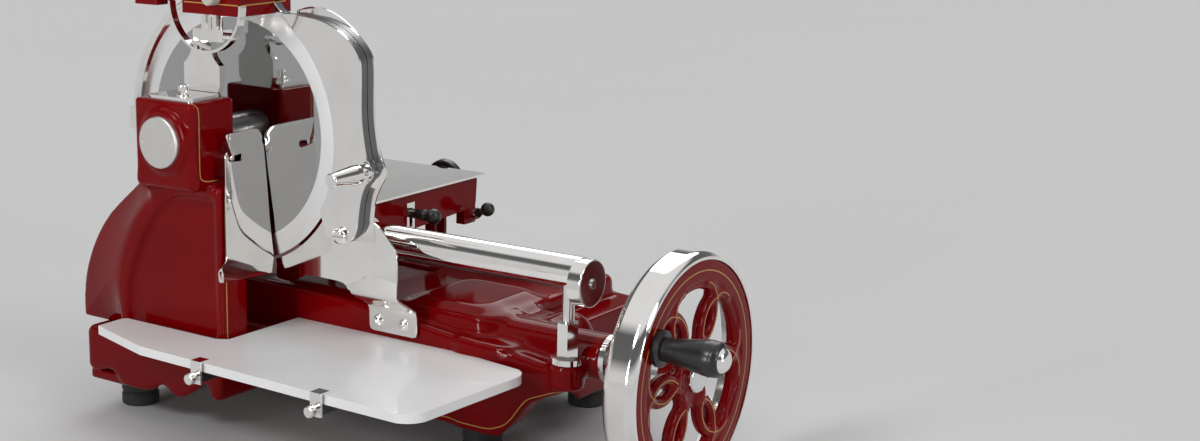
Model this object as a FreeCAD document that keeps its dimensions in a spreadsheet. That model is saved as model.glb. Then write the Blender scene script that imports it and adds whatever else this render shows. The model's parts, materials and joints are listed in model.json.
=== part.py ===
import FreeCAD, Part
import math
import os
import Sketcher

V = FreeCAD.Vector
Turn = FreeCAD.Rotation

# Ways in which a piece built about its own origin is turned into the slicer.
UPRIGHT = Turn()
ALONG_X = Turn(V(0, 1, 0), 90)
ALONG_Y = Turn(V(1, 0, 0), -90)
FRONT = Turn(V(1, 0, 0), 90)
SIDE = Turn(V(1, 1, 1), 120)


class Size:
    """A length with the sheet formula that it comes from."""

    def __init__(self, value, text):
        self.value = float(value)
        self.text = text

    def __add__(self, other):
        other = size(other)
        return Size(self.value + other.value, "(%s + %s)" % (self.text, other.text))

    def __sub__(self, other):
        other = size(other)
        return Size(self.value - other.value, "(%s - %s)" % (self.text, other.text))

    def __mul__(self, other):
        other = size(other)
        return Size(self.value * other.value, "(%s * %s)" % (self.text, other.text))

    def __truediv__(self, other):
        other = size(other)
        return Size(self.value / other.value, "(%s / %s)" % (self.text, other.text))

    def __radd__(self, other):
        return size(other) + self

    def __rsub__(self, other):
        return size(other) - self

    def __rmul__(self, other):
        return size(other) * self

    def __neg__(self):
        return Size(-self.value, "(0 - %s)" % self.text)


def size(item):
    """Any number as a Size."""
    if isinstance(item, Size):
        return item
    number = round(float(item), 5)
    if number < 0:
        return Size(number, "(0 - %s)" % repr(-number))
    return Size(number, repr(number))


# The dimensions that drive the slicer, in millimetres.
DIMENSIONS = {
    "frame_x": 63.85,
    "frame_y": 63.75,
    "run_gap": 0.05,
    "near_gap": 0.3,
    "blade_radius": 150.0,
    "blade_thick": 3.0,
    "blade_x": -150.0,
    "blade_z": 337.0,
    "blade_shaft_radius": 9.0,
    "blade_hub_radius": 19.0,
    "guard_gap": 2.5,
    "column_front": -108.0,
    "column_back": -40.0,
    "column_half": 40.0,
    "column_low": 285.0,
    "column_high": 381.0,
    "shell_front": -84.0,
    "shell_back": -46.0,
    "shell_radius": 148.0,
    "shell_right": -96.0,
    "shell_low": 100.0,
    "base_left": -314.0,
    "base_right": 192.0,
    "base_front": 30.0,
    "base_rear": 315.0,
    "base_floor": 35.0,
    "base_deck": 156.0,
    "base_wall": 6.0,
    "drive_y": 78.0,
    "drive_z": 131.0,
    "drive_shaft_radius": 8.0,
    "cross_x": -200.0,
    "bush_wall": 4.0,
    "housing_radius": 25.0,
    "housing_end": 300.0,
    "wheel_x": 400.0,
    "wheel_radius": 127.0,
    "wheel_disc_radius": 119.0,
    "rim_depth": 35.0,
    "spoke_rib": 6.5,
    "handle_reach": 92.0,
    "grip_length": 62.0,
    "chain_pitch": 12.7,
    "chain_y": -66.0,
    "bevel_radius": 18.0,
    "crank_x": 72.0,
    "crank_y": 188.0,
    "crank_radius": 77.0,
    "pinion_radius": 20.0,
    "gear_low": 95.0,
    "rod_length": 165.0,
    "rod_z": 141.0,
    "tube_y": 40.0,
    "tube_z": 228.5,
    "tube_radius": 16.5,
    "tube_end": 288.0,
    "post_x": 271.0,
    "rail_y": 215.0,
    "tray_top": 120.0,
    "tray_thick": 10.0,
    "carriage_top": 262.0,
    "carriage_low": 219.0,
    "carriage_left": -190.0,
    "carriage_right": 10.0,
    "table_top": 268.0,
    "table_thick": 2.5,
    "feed_x": -53.0,
    "feed_z": 248.0,
    "box_dip": 15.0,
    "box_tall": 56.0,
    "gauge_thick": 12.0,
    "foot_radius": 22.0,
}


class Dimensions:
    """The driving dimensions, each one readable by its name."""

    def __init__(self, book):
        row = 0
        for name, value in DIMENSIONS.items():
            row = row + 1
            book.set("A%d" % row, name)
            book.set("B%d" % row, repr(value))
            book.setAlias("B%d" % row, name)
            setattr(self, name, Size(value, "Sizes." + name))


doc = FreeCAD.newDocument("Slicer")
sheet = doc.addObject("Spreadsheet::Sheet", "Sizes")
D = Dimensions(sheet)
doc.recompute()

NODES = []


def bind(thing, prop, item):
    """Ties one property to a sheet formula, or sets it to a plain number."""
    item = size(item)
    if "Sizes." in item.text:
        thing.setExpression(prop, item.text)
    else:
        target = thing
        parts = prop.split(".")
        if len(parts) == 1:
            setattr(target, prop, item.value)
        else:
            thing.setExpression(prop, item.text)


def place(thing, at, turn):
    """Puts a primitive at a point of its piece's own frame."""
    spot = [size(item) for item in at]
    base = V(spot[0].value, spot[1].value, spot[2].value)
    thing.Placement = FreeCAD.Placement(base, turn)
    for letter, item in zip("xyz", spot):
        if "Sizes." in item.text:
            thing.setExpression("Placement.Base." + letter, item.text)
    return thing


def box(x0, x1, y0, y1, z0, z1):
    """A block between two corners."""
    thing = doc.addObject("Part::Box", "Block")
    x0, x1, y0, y1, z0, z1 = [size(item) for item in (x0, x1, y0, y1, z0, z1)]
    bind(thing, "Length", x1 - x0)
    bind(thing, "Width", y1 - y0)
    bind(thing, "Height", z1 - z0)
    return place(thing, (x0, y0, z0), UPRIGHT)


def bar(length, width, height, at, turn):
    """A block centred on its own axis, starting at a point and turned."""
    thing = doc.addObject("Part::Box", "Bar")
    bind(thing, "Length", length)
    bind(thing, "Width", width)
    bind(thing, "Height", height)
    thing.Placement = FreeCAD.Placement(V(*[size(item).value for item in at]), turn)
    for letter, item in zip("xyz", at):
        item = size(item)
        if "Sizes." in item.text:
            thing.setExpression("Placement.Base." + letter, item.text)
    return thing


def rod(radius, length, at=(0, 0, 0), turn=UPRIGHT):
    """A round bar that starts at a point."""
    thing = doc.addObject("Part::Cylinder", "Rod")
    bind(thing, "Radius", radius)
    bind(thing, "Height", length)
    return place(thing, at, turn)


def taper(low, high, length, at=(0, 0, 0), turn=UPRIGHT):
    """A cone frustum that starts at a point."""
    thing = doc.addObject("Part::Cone", "Taper")
    bind(thing, "Radius1", low)
    bind(thing, "Radius2", high)
    bind(thing, "Height", length)
    return place(thing, at, turn)


def ball(radius, at=(0, 0, 0)):
    """A ball about a point."""
    thing = doc.addObject("Part::Sphere", "Ball")
    bind(thing, "Radius", radius)
    return place(thing, at, UPRIGHT)


def torus(big, small, at=(0, 0, 0), turn=UPRIGHT, sweep=360.0):
    """A ring of round section, or part of one."""
    thing = doc.addObject("Part::Torus", "Hoop")
    bind(thing, "Radius1", big)
    bind(thing, "Radius2", small)
    thing.Angle3 = sweep
    return place(thing, at, turn)


def hexagon(flats, length, at=(0, 0, 0), turn=UPRIGHT):
    """A six-sided bar."""
    thing = doc.addObject("Part::Prism", "Hexagon")
    thing.Polygon = 6
    bind(thing, "Circumradius", size(flats) * 0.57735)
    bind(thing, "Height", length)
    return place(thing, at, turn)


def fuse(*things):
    """Several solids as one."""
    whole = doc.addObject("Part::MultiFuse", "Union")
    whole.Shapes = list(things)
    return whole


def common(first, second):
    """What two solids share."""
    whole = doc.addObject("Part::MultiCommon", "Shared")
    whole.Shapes = [first, second]
    return whole


def cut(base, *tools):
    """A solid less others."""
    whole = doc.addObject("Part::Cut", "Cutout")
    whole.Base = base
    whole.Tool = tools[0] if len(tools) == 1 else fuse(*tools)
    return whole


def group(*things):
    """Separate solids kept together in one piece."""
    whole = doc.addObject("Part::Compound", "Group")
    whole.Links = list(things)
    return whole


def ring(outer, inner, length, at=(0, 0, 0), turn=UPRIGHT):
    """A round sleeve."""
    hole = rod(inner, size(length) + 2, (0, 0, -1))
    whole = cut(rod(outer, length), hole)
    return place(whole, at, turn)


def soften(thing, radius, picks):
    """Rounds those edges for which picks(edge) is true."""
    doc.recompute()
    radius = size(radius).value
    chosen = []
    for number, edge in enumerate(thing.Shape.Edges):
        if picks(edge):
            chosen.append((number + 1, radius, radius))
    whole = doc.addObject("Part::Fillet", "Softened")
    whole.Base = thing
    whole.Edges = chosen
    return whole


def seat(thing, label, at=(0, 0, 0), turn=UPRIGHT):
    """Names a finished piece and puts it in the slicer's frame."""
    spot = (size(at[0]) - D.frame_x, size(at[1]) - D.frame_y, size(at[2]))
    base = V(spot[0].value, spot[1].value, spot[2].value)
    if not thing.Placement.isIdentity():
        thing = group(thing)
    thing.Label = label
    thing.Placement = FreeCAD.Placement(base, turn)
    for letter, item in zip("xyz", spot):
        thing.setExpression("Placement.Base." + letter, item.text)
    NODES.append((label, thing))
    return thing


def new_body(name):
    """An empty body."""
    body = doc.addObject("PartDesign::Body", name)
    doc.recompute()
    return body


def plane_of(body, role):
    """One of a body's own origin planes."""
    for feature in body.Origin.OriginFeatures:
        if feature.Role == role:
            return feature
    return None


class Path:
    """A closed outline of lines and arcs, drawn from its first point."""

    def __init__(self, sketch):
        self.sketch = sketch
        self.pieces = []

    def fix(self, geometry, end, point):
        """Holds one end of a piece at a named place."""
        for kind, item in zip(("DistanceX", "DistanceY"), point):
            item = size(item)
            number = self.sketch.addConstraint(
                Sketcher.Constraint(kind, geometry, end, item.value))
            if "Sizes." in item.text:
                self.sketch.setExpression("Constraints[%d]" % number, item.text)

    def line(self, start, stop):
        """A straight piece."""
        first = V(size(start[0]).value, size(start[1]).value, 0)
        last = V(size(stop[0]).value, size(stop[1]).value, 0)
        number = self.sketch.addGeometry(Part.LineSegment(first, last), False)
        self.pieces.append((number, 1, 2))

    def arc(self, start, stop, radius):
        """A curved piece, counter-clockwise when the radius is above zero."""
        x0, y0 = size(start[0]).value, size(start[1]).value
        x1, y1 = size(stop[0]).value, size(stop[1]).value
        item = size(radius)
        reach = abs(item.value)
        hand = 1.0 if item.value > 0 else -1.0
        chord = math.hypot(x1 - x0, y1 - y0)
        rise = math.sqrt(max(reach * reach - chord * chord / 4, 0))
        mid_x = (x0 + x1) / 2 - hand * rise * (y1 - y0) / chord
        mid_y = (y0 + y1) / 2 + hand * rise * (x1 - x0) / chord
        begin = math.atan2(y0 - mid_y, x0 - mid_x)
        finish = math.atan2(y1 - mid_y, x1 - mid_x)
        if hand < 0:
            begin, finish = finish, begin
        circle = Part.Circle(V(mid_x, mid_y, 0), V(0, 0, 1), reach)
        number = self.sketch.addGeometry(Part.ArcOfCircle(circle, begin, finish), False)
        ends = (1, 2) if hand > 0 else (2, 1)
        self.pieces.append((number, ends[0], ends[1]))
        count = self.sketch.addConstraint(Sketcher.Constraint("Radius", number, reach))
        if "Sizes." in item.text:
            text = item.text if hand > 0 else "(0 - %s)" % item.text
            self.sketch.setExpression("Constraints[%d]" % count, text)

    def close(self, points):
        """Joins the pieces and holds every corner."""
        total = len(self.pieces)
        for place_in, (number, begin, finish) in enumerate(self.pieces):
            after = self.pieces[(place_in + 1) % total]
            self.sketch.addConstraint(
                Sketcher.Constraint("Coincident", number, finish, after[0], after[1]))
        for place_in, (number, begin, finish) in enumerate(self.pieces):
            self.fix(number, begin, points[place_in][:2])


def outline(body, name, points, role="XY_Plane", lift=0):
    """A closed sketch; a point with a third value is reached by an arc."""
    sketch = body.newObject("Sketcher::SketchObject", name)
    sketch.AttachmentSupport = [(plane_of(body, role), "")]
    sketch.MapMode = "FlatFace"
    lift = size(lift)
    if lift.value != 0:
        sketch.AttachmentOffset = FreeCAD.Placement(V(0, 0, lift.value), Turn())
        if "Sizes." in lift.text:
            sketch.setExpression("AttachmentOffset.Base.z", lift.text)
    path = Path(sketch)
    for number, point in enumerate(points):
        after = points[(number + 1) % len(points)]
        if len(after) == 3:
            path.arc(point, after, after[2])
        else:
            path.line(point, after)
    path.close(points)
    return sketch


def pad(body, sketch, length):
    """Raises a sketch by a length."""
    feature = body.newObject("PartDesign::Pad", "Pad")
    feature.Profile = sketch
    bind(feature, "Length", length)
    return feature


def slab(name, points, thick):
    """A flat piece: one outline raised by its thickness."""
    body = new_body(name)
    pad(body, outline(body, name + "Outline", points), thick)
    return body


def lathe(name, points):
    """A turned piece: a half outline of (radius, height) spun about its axis."""
    body = new_body(name)
    sketch = outline(body, name + "Half", points, "XZ_Plane")
    feature = body.newObject("PartDesign::Revolution", "Spin")
    feature.Profile = sketch
    feature.ReferenceAxis = (sketch, ["V_Axis"])
    feature.Angle = 360
    return body


def polar(reach, degrees):
    """A point at a distance and an angle from the origin."""
    turn = math.radians(degrees)
    return (size(reach) * math.cos(turn), size(reach) * math.sin(turn))


def rounded(x0, x1, y0, y1, corner):
    """A rectangle with round corners."""
    x0, x1, y0, y1 = [size(item) for item in (x0, x1, y0, y1)]
    return [(x0 + corner, y0, corner), (x1 - corner, y0),
            (x1, y0 + corner, corner), (x1, y1 - corner),
            (x1 - corner, y1, corner), (x0 + corner, y1),
            (x0, y1 - corner, corner), (x0, y0 + corner)]


# ---------------------------------------------------------------- base and feet

DECK_LOW = D.base_deck - D.base_wall
HOUSE_BORE = D.drive_shaft_radius + D.bush_wall
BASE_CORNER = 24


def base_main():
    """The low body: a front view carried back, under a raised deck."""
    front = slab("BaseFront", [
        (D.base_left, D.base_floor), (D.base_right, D.base_floor),
        (D.base_right + 12, D.base_deck - 60), (D.base_right + 12, D.base_deck - 25),
        (D.base_right - 38, D.base_deck - 22), (D.base_left + 303, D.base_deck - 3),
        (D.base_left + 171, D.base_deck), (D.base_left + 8, D.base_deck),
        (D.base_left, D.base_deck - 8, 8)], D.base_rear - D.base_front)
    place(front, (0, D.base_rear, 0), FRONT)
    front = soften(front, BASE_CORNER, lambda edge: edge.BoundBox.XMin > D.base_right.value - 1
                   and edge.BoundBox.YMax < D.base_front.value + 1
                   and edge.BoundBox.ZLength > 20)
    deck = box(D.base_left + 6, D.base_right - 22, D.base_front + 16, D.base_rear - 6,
               D.base_deck - 40, D.base_deck)
    deck = soften(deck, 15, lambda edge: edge.BoundBox.ZLength > 30)
    deck = soften(deck, 8, lambda edge: edge.BoundBox.ZMin > D.base_deck.value - 1)
    pod = new_body("BasePod")
    foot = rounded(D.crank_x - 26, D.base_right - 26, D.base_front + 20,
                   D.base_front + 142, 26)
    top = rounded(D.crank_x - 14, D.base_right - 40, D.base_front + 30,
                  D.base_front + 130, 20)
    pad(pod, outline(pod, "PodFoot", foot), 1.5)
    loft = pod.newObject("PartDesign::AdditiveLoft", "PodLoft")
    loft.Profile = outline(pod, "PodLow", foot, lift=1.5)
    loft.Sections = [outline(pod, "PodTop", top, lift=10)]
    loft.Ruled = True
    place(pod, (0, 0, D.base_deck - 1), UPRIGHT)
    pod = soften(pod, 4, lambda edge: edge.BoundBox.ZMin > D.base_deck.value + 8)
    return fuse(front, deck, pod)


def base_block():
    """The left front block that carries the column, with a scalloped lower edge."""
    left = D.base_left
    right = D.shell_right - 4
    low = D.base_floor
    return place(slab("BaseBlock", [
        (left, low + 20), (left + 6, low + 11, -8), (left + 18, low + 11),
        (left + 28, low + 2, -12), (left + 60, low + 2), (left + 78, low + 10, -20),
        (right - 58, low + 9), (right - 42, low + 6), (right - 24, low + 30, 30),
        (right - 14, low + 12, 22), (right, low + 10), (right, D.shell_low),
        (left + 8, D.shell_low), (left, D.shell_low - 8, 8)],
        D.base_front + 8 + 90), (0, D.base_front + 8, 0), FRONT)


def base_arm():
    """The right arm with the post boss and the shaft housing."""
    right = D.base_right
    arm = slab("BaseArm", [
        (right - 6, 62), (right + 12, 64), (right + 66, 104), (D.post_x, 104),
        (D.post_x, 125), (right + 63, 126), (right + 6, 132), (right - 6, 134)], 40)
    place(arm, (0, 64, 0), FRONT)
    arm = soften(arm, 7, lambda edge: edge.BoundBox.XLength > 20 and edge.BoundBox.YLength < 1)
    boss = rod(18, 28, (D.post_x, D.tube_y, 103))
    boss = soften(boss, 5, lambda edge: edge.BoundBox.ZMax < 104)
    tube = rod(D.housing_radius, D.housing_end - right + 30,
               (right - 30, D.drive_y, D.drive_z), ALONG_X)
    web = box(right - 6, right + 40, D.drive_y - 20, D.drive_y + 34, D.drive_z - 50,
              D.drive_z - 4)
    dome = ball(28, (right + 34, D.drive_y + 34, D.drive_z + 2))
    neck = box(right - 30, right + 38, D.drive_y + 8, D.drive_y + 60, D.drive_z - 40,
               D.drive_z + 22)
    neck = soften(neck, 9, lambda edge: edge.BoundBox.ZMax > D.drive_z.value + 21)
    return fuse(arm, boss, tube, web, dome, neck)


def base_hollow():
    """All that is cut from the base: chambers, bores, the slot and the arch."""
    wall = D.base_wall
    chamber = slab("BaseChamber", [
        (D.base_left + wall, 20), (D.base_right - wall, 20),
        (D.base_right - wall, D.base_floor), (D.base_right + 12 - wall, D.base_deck - 60),
        (D.base_right + 12 - wall, D.base_deck - 32), (D.base_right - 40, D.base_deck - 29),
        (D.base_left + 303, D.base_deck - 10), (D.base_left + 171, D.base_deck - 7),
        (D.base_left + wall, D.base_deck - 7)], D.base_rear - D.base_front - 2 * wall)
    place(chamber, (0, D.base_rear - wall, 0), FRONT)
    chamber = soften(chamber, BASE_CORNER - wall, lambda edge: edge.BoundBox.YLength < 1
                     and edge.BoundBox.XMin > D.base_right.value - wall.value - 1
                     and edge.BoundBox.YMax < D.base_front.value + wall.value + 1
                     and edge.BoundBox.ZLength > 10)
    upper = box(D.base_left + 12, D.base_right - 28, D.base_front + 22,
                D.base_rear - 12, D.base_deck - 50, DECK_LOW)
    podroom = box(D.crank_x - 11, D.crank_x + 82, D.base_front + 26, D.base_front + 126,
                  D.base_deck - 20, D.base_deck + 2)
    block = box(D.base_left + wall, D.shell_right - 4 - wall, D.shell_front,
                D.base_front + 20, 10, D.shell_low - wall)
    slot = box(D.cross_x - 62, D.cross_x + 62, D.shell_front + 5, D.shell_back - 3.5,
               D.shell_low - 20, D.shell_low + 5)
    track = box(D.carriage_left + 13, D.carriage_right - 19,
                D.crank_y - 7, D.crank_y + 7, D.base_deck - 20, D.base_deck + 10)
    arch = rod(120, 60, (D.base_right - wall - 1.5, 112, -55), ALONG_X)
    face = rod(18.3, 30, (D.post_x, D.tube_y, D.drive_z))
    reach = D.bevel_radius + 4
    relief = box(D.cross_x - reach, D.cross_x + reach + 10, D.drive_y - reach - 10,
                 D.drive_y + reach, DECK_LOW - 5, DECK_LOW + 3)
    return chamber, upper, podroom, block, slot, track, arch, face, relief


def base_fittings():
    """Inside the base: foot flanges, the shaft pedestal and the crown beam."""
    wall = D.base_wall
    low = D.base_floor
    things = []
    for x0, x1, y0, y1 in (
            (D.base_right - 72, D.base_right - 8, D.base_front + 3, D.base_front + 62),
            (D.base_right - 72, D.base_right - 8, D.base_rear - 65, D.base_rear - 3),
            (D.base_left + 3, D.base_left + 64, D.base_rear - 65, D.base_rear - 3),
            (D.base_left + 3, D.base_left + 64, D.shell_front - 3, D.shell_front + 74)):
        things.append(box(x0, x1, y0, y1, low, low + 12))
    things.append(box(D.cross_x + 50, D.cross_x + 64, D.drive_y - 18, D.drive_y + 18,
                      D.drive_z - 18, DECK_LOW + 2))
    things.append(box(D.crank_x - 18, D.crank_x + 18, D.base_front + 3, D.base_rear - 3,
                      low + 27, low + 39))
    things.append(rod(16, D.gear_low - D.base_floor - 31,
                      (D.crank_x, D.drive_y, D.base_floor + 27)))
    things.append(rod(22, D.base_front - D.shell_back + 1,
                      (D.cross_x, D.shell_back + 3, D.drive_z), ALONG_Y))
    return things


def base_bores():
    """The bush seats for the main shaft and the cross shaft."""
    main = rod(HOUSE_BORE, 520, (D.cross_x + 30, D.drive_y, D.drive_z), ALONG_X)
    cross = rod(HOUSE_BORE, D.base_front - D.shell_back + 20,
                (D.cross_x, D.shell_back - 2, D.drive_z), ALONG_Y)
    stud = rod(7, 40, (D.crank_x, D.crank_y, D.base_floor + 22))
    jack = rod(HOUSE_BORE, 50, (D.crank_x, D.drive_y, D.base_floor + 20))
    return main, cross, stud, jack


def tube_bracket():
    """The upright on the deck that holds the guide tube's left end."""
    left = D.carriage_left - 16
    stand = box(left - 4, left + 12, D.tube_y - 14, D.tube_y + 14, D.base_deck - 10, D.tube_z)
    eye = rod(D.tube_radius + 6, 16, (left - 4, D.tube_y, D.tube_z), ALONG_X)
    bore = rod(D.tube_radius, 40, (left, D.tube_y, D.tube_z), ALONG_X)
    return cut(fuse(stand, eye), bore)


def base_casting():
    """The red base, cast in one with its arm, bracket and block."""
    body = fuse(base_main(), base_block(), base_arm(), tube_bracket())
    hollow = cut(body, *base_hollow())
    whole = cut(fuse(hollow, *base_fittings()), *base_bores())
    return seat(whole, "base_casting")


def feet():
    """Four rubber feet."""
    spots = ((D.base_left + 36, D.column_back), (D.base_right - 45, D.base_rear - 37),
             (D.base_right - 45, D.base_front + 35), (D.base_left + 36, D.base_rear - 37))
    things = []
    for x, y in spots:
        foot = lathe("Foot", [
            (0, 0), (D.foot_radius - 2, 0), (D.foot_radius, 2, 2),
            (D.foot_radius, 12), (D.foot_radius - 2, 15), (D.foot_radius, 18),
            (D.foot_radius, D.base_floor), (0, D.base_floor)])
        things.append(place(foot, (x, y, 0), UPRIGHT))
    seat(group(*things), "rubber_feet")


# ---------------------------------------------------------------- column

BEARING_RADIUS = D.blade_shaft_radius + D.bush_wall


def shell_points(inset, radius, low):
    """The chain case seen from the front, round the cross shaft."""
    right = D.shell_right - inset
    top = D.column_low + 9
    start = (D.cross_x - 52 + inset * 1.6, D.column_low - 15)
    stop = (D.cross_x - D.shell_radius * 0.978 + inset * 3.6, low)
    return [(right, low), (right, D.column_low - 15), (D.blade_x + 34 - inset / 3, top),
            (D.blade_x - 49, top), start, (stop[0], stop[1], radius)]


def column_shell():
    """The chain case: straight at the back, drawn in toward the front."""
    body = new_body("ColumnShell")
    back = shell_points(size(0), D.shell_radius, D.shell_low)
    front = shell_points(size(5.5), D.shell_radius - 8, D.shell_low)
    pad(body, outline(body, "ShellBack", back), 20)
    loft = body.newObject("PartDesign::AdditiveLoft", "ShellLoft")
    depth = D.shell_back - D.shell_front
    loft.Profile = outline(body, "ShellMiddle", back, lift=20)
    loft.Sections = [outline(body, "ShellFront", front, lift=depth)]
    loft.Ruled = True
    place(body, (0, D.shell_back, 0), FRONT)
    panel = slab("ShellPanel", [
        (D.shell_right - 9, D.shell_low + 4), (D.shell_right - 9, D.column_low - 9),
        (D.cross_x + 6, D.column_low - 11), (D.cross_x - 62, D.shell_low + 18, 108),
        (D.cross_x - 58, D.shell_low + 4)], 10)
    place(panel, (0, D.shell_front + 4.5, 0), FRONT)
    chamber = slab("ShellChamber", [
        (D.shell_right - 8, D.shell_low - 5), (D.shell_right - 8, D.column_low - 12),
        (D.blade_x + 30, D.column_low + 20), (D.blade_x - 46, D.column_low + 20),
        (D.blade_x - 46, D.column_low + 2), (D.cross_x - 66, D.drive_z + 42),
        (D.cross_x - 66, D.shell_low - 5)], D.shell_back - D.chain_y + 10)
    place(chamber, (0, D.shell_back + 2, 0), FRONT)
    return body, panel, chamber


def column_casting():
    """The chain case and the bearing block above it, cast as one."""
    shell, panel, chamber = column_shell()
    left = D.blade_x - D.column_half - 10
    right = D.blade_x + D.column_half - 5
    block = slab("ColumnBlock", rounded(left, right, D.column_front, D.column_back, 9),
                 D.column_high - D.column_low)
    place(block, (0, 0, D.column_low), UPRIGHT)
    block = soften(block, 5, lambda edge: edge.BoundBox.ZMin > D.column_high.value - 1)
    boss = rod(33, 12, (D.blade_x - 5, D.column_front + 6, D.blade_z), FRONT)
    room = box(left + 4, right - 8, D.chain_y - 9, D.chain_y + 15, D.column_low - 8,
               D.blade_z + 30)
    bore = rod(BEARING_RADIUS, 90, (D.blade_x, D.column_back + 1, D.blade_z), FRONT)
    centre = (D.column_front + D.column_back) / 2 - 2
    socket = rod(3.3, 12, (D.blade_x + 1, centre - 8, D.column_high - 4))
    whole = cut(fuse(shell, block, boss), panel, chamber, room, bore, socket)
    return seat(whole, "column_casting")


def chain_case_cover():
    """The plate that closes the chain case at the back."""
    plate = slab("CasePlate", [
        (D.shell_right - 4, D.shell_low + 2), (D.shell_right - 4, D.column_low - 16),
        (D.blade_x + 34, D.column_low - 1), (D.blade_x - 49, D.column_low - 1),
        (D.cross_x - 52, D.column_low - 20),
        (D.cross_x - D.shell_radius * 0.96, D.shell_low + 2, D.shell_radius - 3)], 2.5)
    place(plate, (0, D.shell_back + 2.5, 0), FRONT)
    hole = rod(D.drive_shaft_radius + 1, 10, (D.cross_x, D.shell_back - 2, D.drive_z), ALONG_Y)
    screws = []
    for x, z in ((D.shell_right - 12, D.shell_low + 14), (D.shell_right - 12, D.column_low - 26),
                 (D.cross_x - 120, D.shell_low + 14), (D.cross_x - 52, D.column_low - 34)):
        screws.append(rod(3.5, 2, (x, D.shell_back + 2.5, z), ALONG_Y))
    return seat(fuse(cut(plate, hole), *screws), "chain_case_cover")


def bearing_cap():
    """The round cap on the column with its two screws."""
    at = (D.blade_x - 5, D.column_front - 6, D.blade_z)
    cap = lathe("BearingCap", [
        (0, 0), (28.5, 0), (28.5, 4), (26.5, 6, 2), (0, 6)])
    holes = [rod(1.8, 10, (offset, 0, -1)) for offset in (-22, 22)]
    seat(cut(cap, *holes), "bearing_cap", at, FRONT)


def cap_screws():
    """The two screws of the round cap."""
    screws = []
    for offset in (-22, 22):
        shank = rod(1.8, 6, (offset, 0, 0))
        head = cut(rod(3, 1.6, (offset, 0, 6)), box(offset - 3, offset + 3, -0.4, 0.4, 6.8, 8))
        screws.append(fuse(shank, head))
    at = (D.blade_x - 5, D.column_front - 6, D.blade_z)
    return place(group(*screws), at, FRONT)


def column_lid():
    """The oil lid on top of the column and its knob."""
    centre = (D.column_front + D.column_back) / 2 - 2
    plate = slab("LidPlate", rounded(-32, 32, -24, 24, 5), 4)
    lid = cut(plate, rod(3 + D.run_gap, 10, (6, -8, -3)))
    seat(lid, "column_lid", (D.blade_x - 5, centre, D.column_high), UPRIGHT)
    knob = lathe("LidKnob", [
        (0, -3), (3, -3), (3, 4), (7.5, 4), (7.5, 5.2), (3.4, 5.6), (3.4, 7.5),
        (5.6, 9.2), (5.6, 14.5), (4.2, 16, 1.5), (0, 16.4)])
    seat(knob, "lid_knob", (D.blade_x + 1, centre - 8, D.column_high), UPRIGHT)


# ---------------------------------------------------------------- blade

def blade():
    """The round blade with its ground edge, hub, shaft and nut."""
    at = (D.blade_x, 0, D.blade_z)
    half = D.blade_thick / 2
    rim = D.blade_radius
    disc = lathe("BladeDisc", [
        (D.blade_shaft_radius, -half), (rim - 11, -half), (rim, half - 0.4),
        (rim, half), (rim - 42, half), (rim - 46, half - 0.8), (D.blade_hub_radius + 6, half - 0.8),
        (D.blade_hub_radius + 2, half), (D.blade_shaft_radius, half)])
    seat(disc, "blade", at, ALONG_Y)
    shaft = lathe("BladeShaft", [
        (0, D.column_front + 4), (D.blade_shaft_radius, D.column_front + 4),
        (D.blade_shaft_radius, D.column_back + 2.5), (D.blade_hub_radius, D.column_back + 2.5),
        (D.blade_hub_radius, -half), (D.blade_shaft_radius, -half),
        (D.blade_shaft_radius, half + 9), (D.blade_shaft_radius - 2, half + 11), (0, half + 11)])
    seat(shaft, "blade_shaft", at, ALONG_Y)
    nut = cut(hexagon(30, 8), rod(D.blade_shaft_radius, 12, (0, 0, -2)))
    seat(nut, "blade_nut", (D.blade_x, half, D.blade_z), ALONG_Y)


def blade_bearings():
    """Two bushes in the column for the blade shaft."""
    inner = D.blade_shaft_radius + D.run_gap
    front = place(ring(BEARING_RADIUS, inner, 13), (0, D.column_front + 2, 0), ALONG_Y)
    back = place(ring(BEARING_RADIUS, inner, 10), (0, D.column_back - 10, 0), ALONG_Y)
    return place(group(front, back), (D.blade_x, 0, D.blade_z), UPRIGHT)


def guard_ring():
    """The bright band round the back of the blade and its arm to the column."""
    inner = D.blade_radius + D.guard_gap
    body = new_body("GuardRing")
    sketch = outline(body, "GuardHalf", [
        (inner, -6), (inner + 4, -6), (inner + 6, -4, 2), (inner + 6, 6),
        (inner + 4, 8, 2), (inner, 8)], "XZ_Plane")
    spin = body.newObject("PartDesign::Revolution", "Spin")
    spin.Profile = sketch
    spin.ReferenceAxis = (sketch, ["V_Axis"])
    spin.Angle = 120
    place(body, (0, 0, 0), Turn(V(0, 0, 1), 106))
    arm = box(-inner - 4, -D.column_half - 10, -13, 13, 9.5, 14.5)
    foot = box(-inner - 4, -inner, -13, 13, 6, 14.5)
    lug = box(-D.column_half - 18, -D.column_half - 10, -13, 13, 9.5, 60)
    whole = fuse(body, arm, foot, lug)
    seat(whole, "blade_guard_ring", (D.blade_x, 0, D.blade_z), FRONT)


# ---------------------------------------------------------------- sharpener

BOX_LOW = D.blade_z + D.blade_radius - D.box_dip
BOX_HIGH = BOX_LOW + D.box_tall
BOX_LEFT = D.blade_x - 19
BOX_RIGHT = D.blade_x + 66
BOX_FRONT = D.column_back - 22
BOX_BACK = size(20)
STONE_X = D.blade_x + 30
STONE_Z = D.blade_z + D.blade_radius + 5


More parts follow.
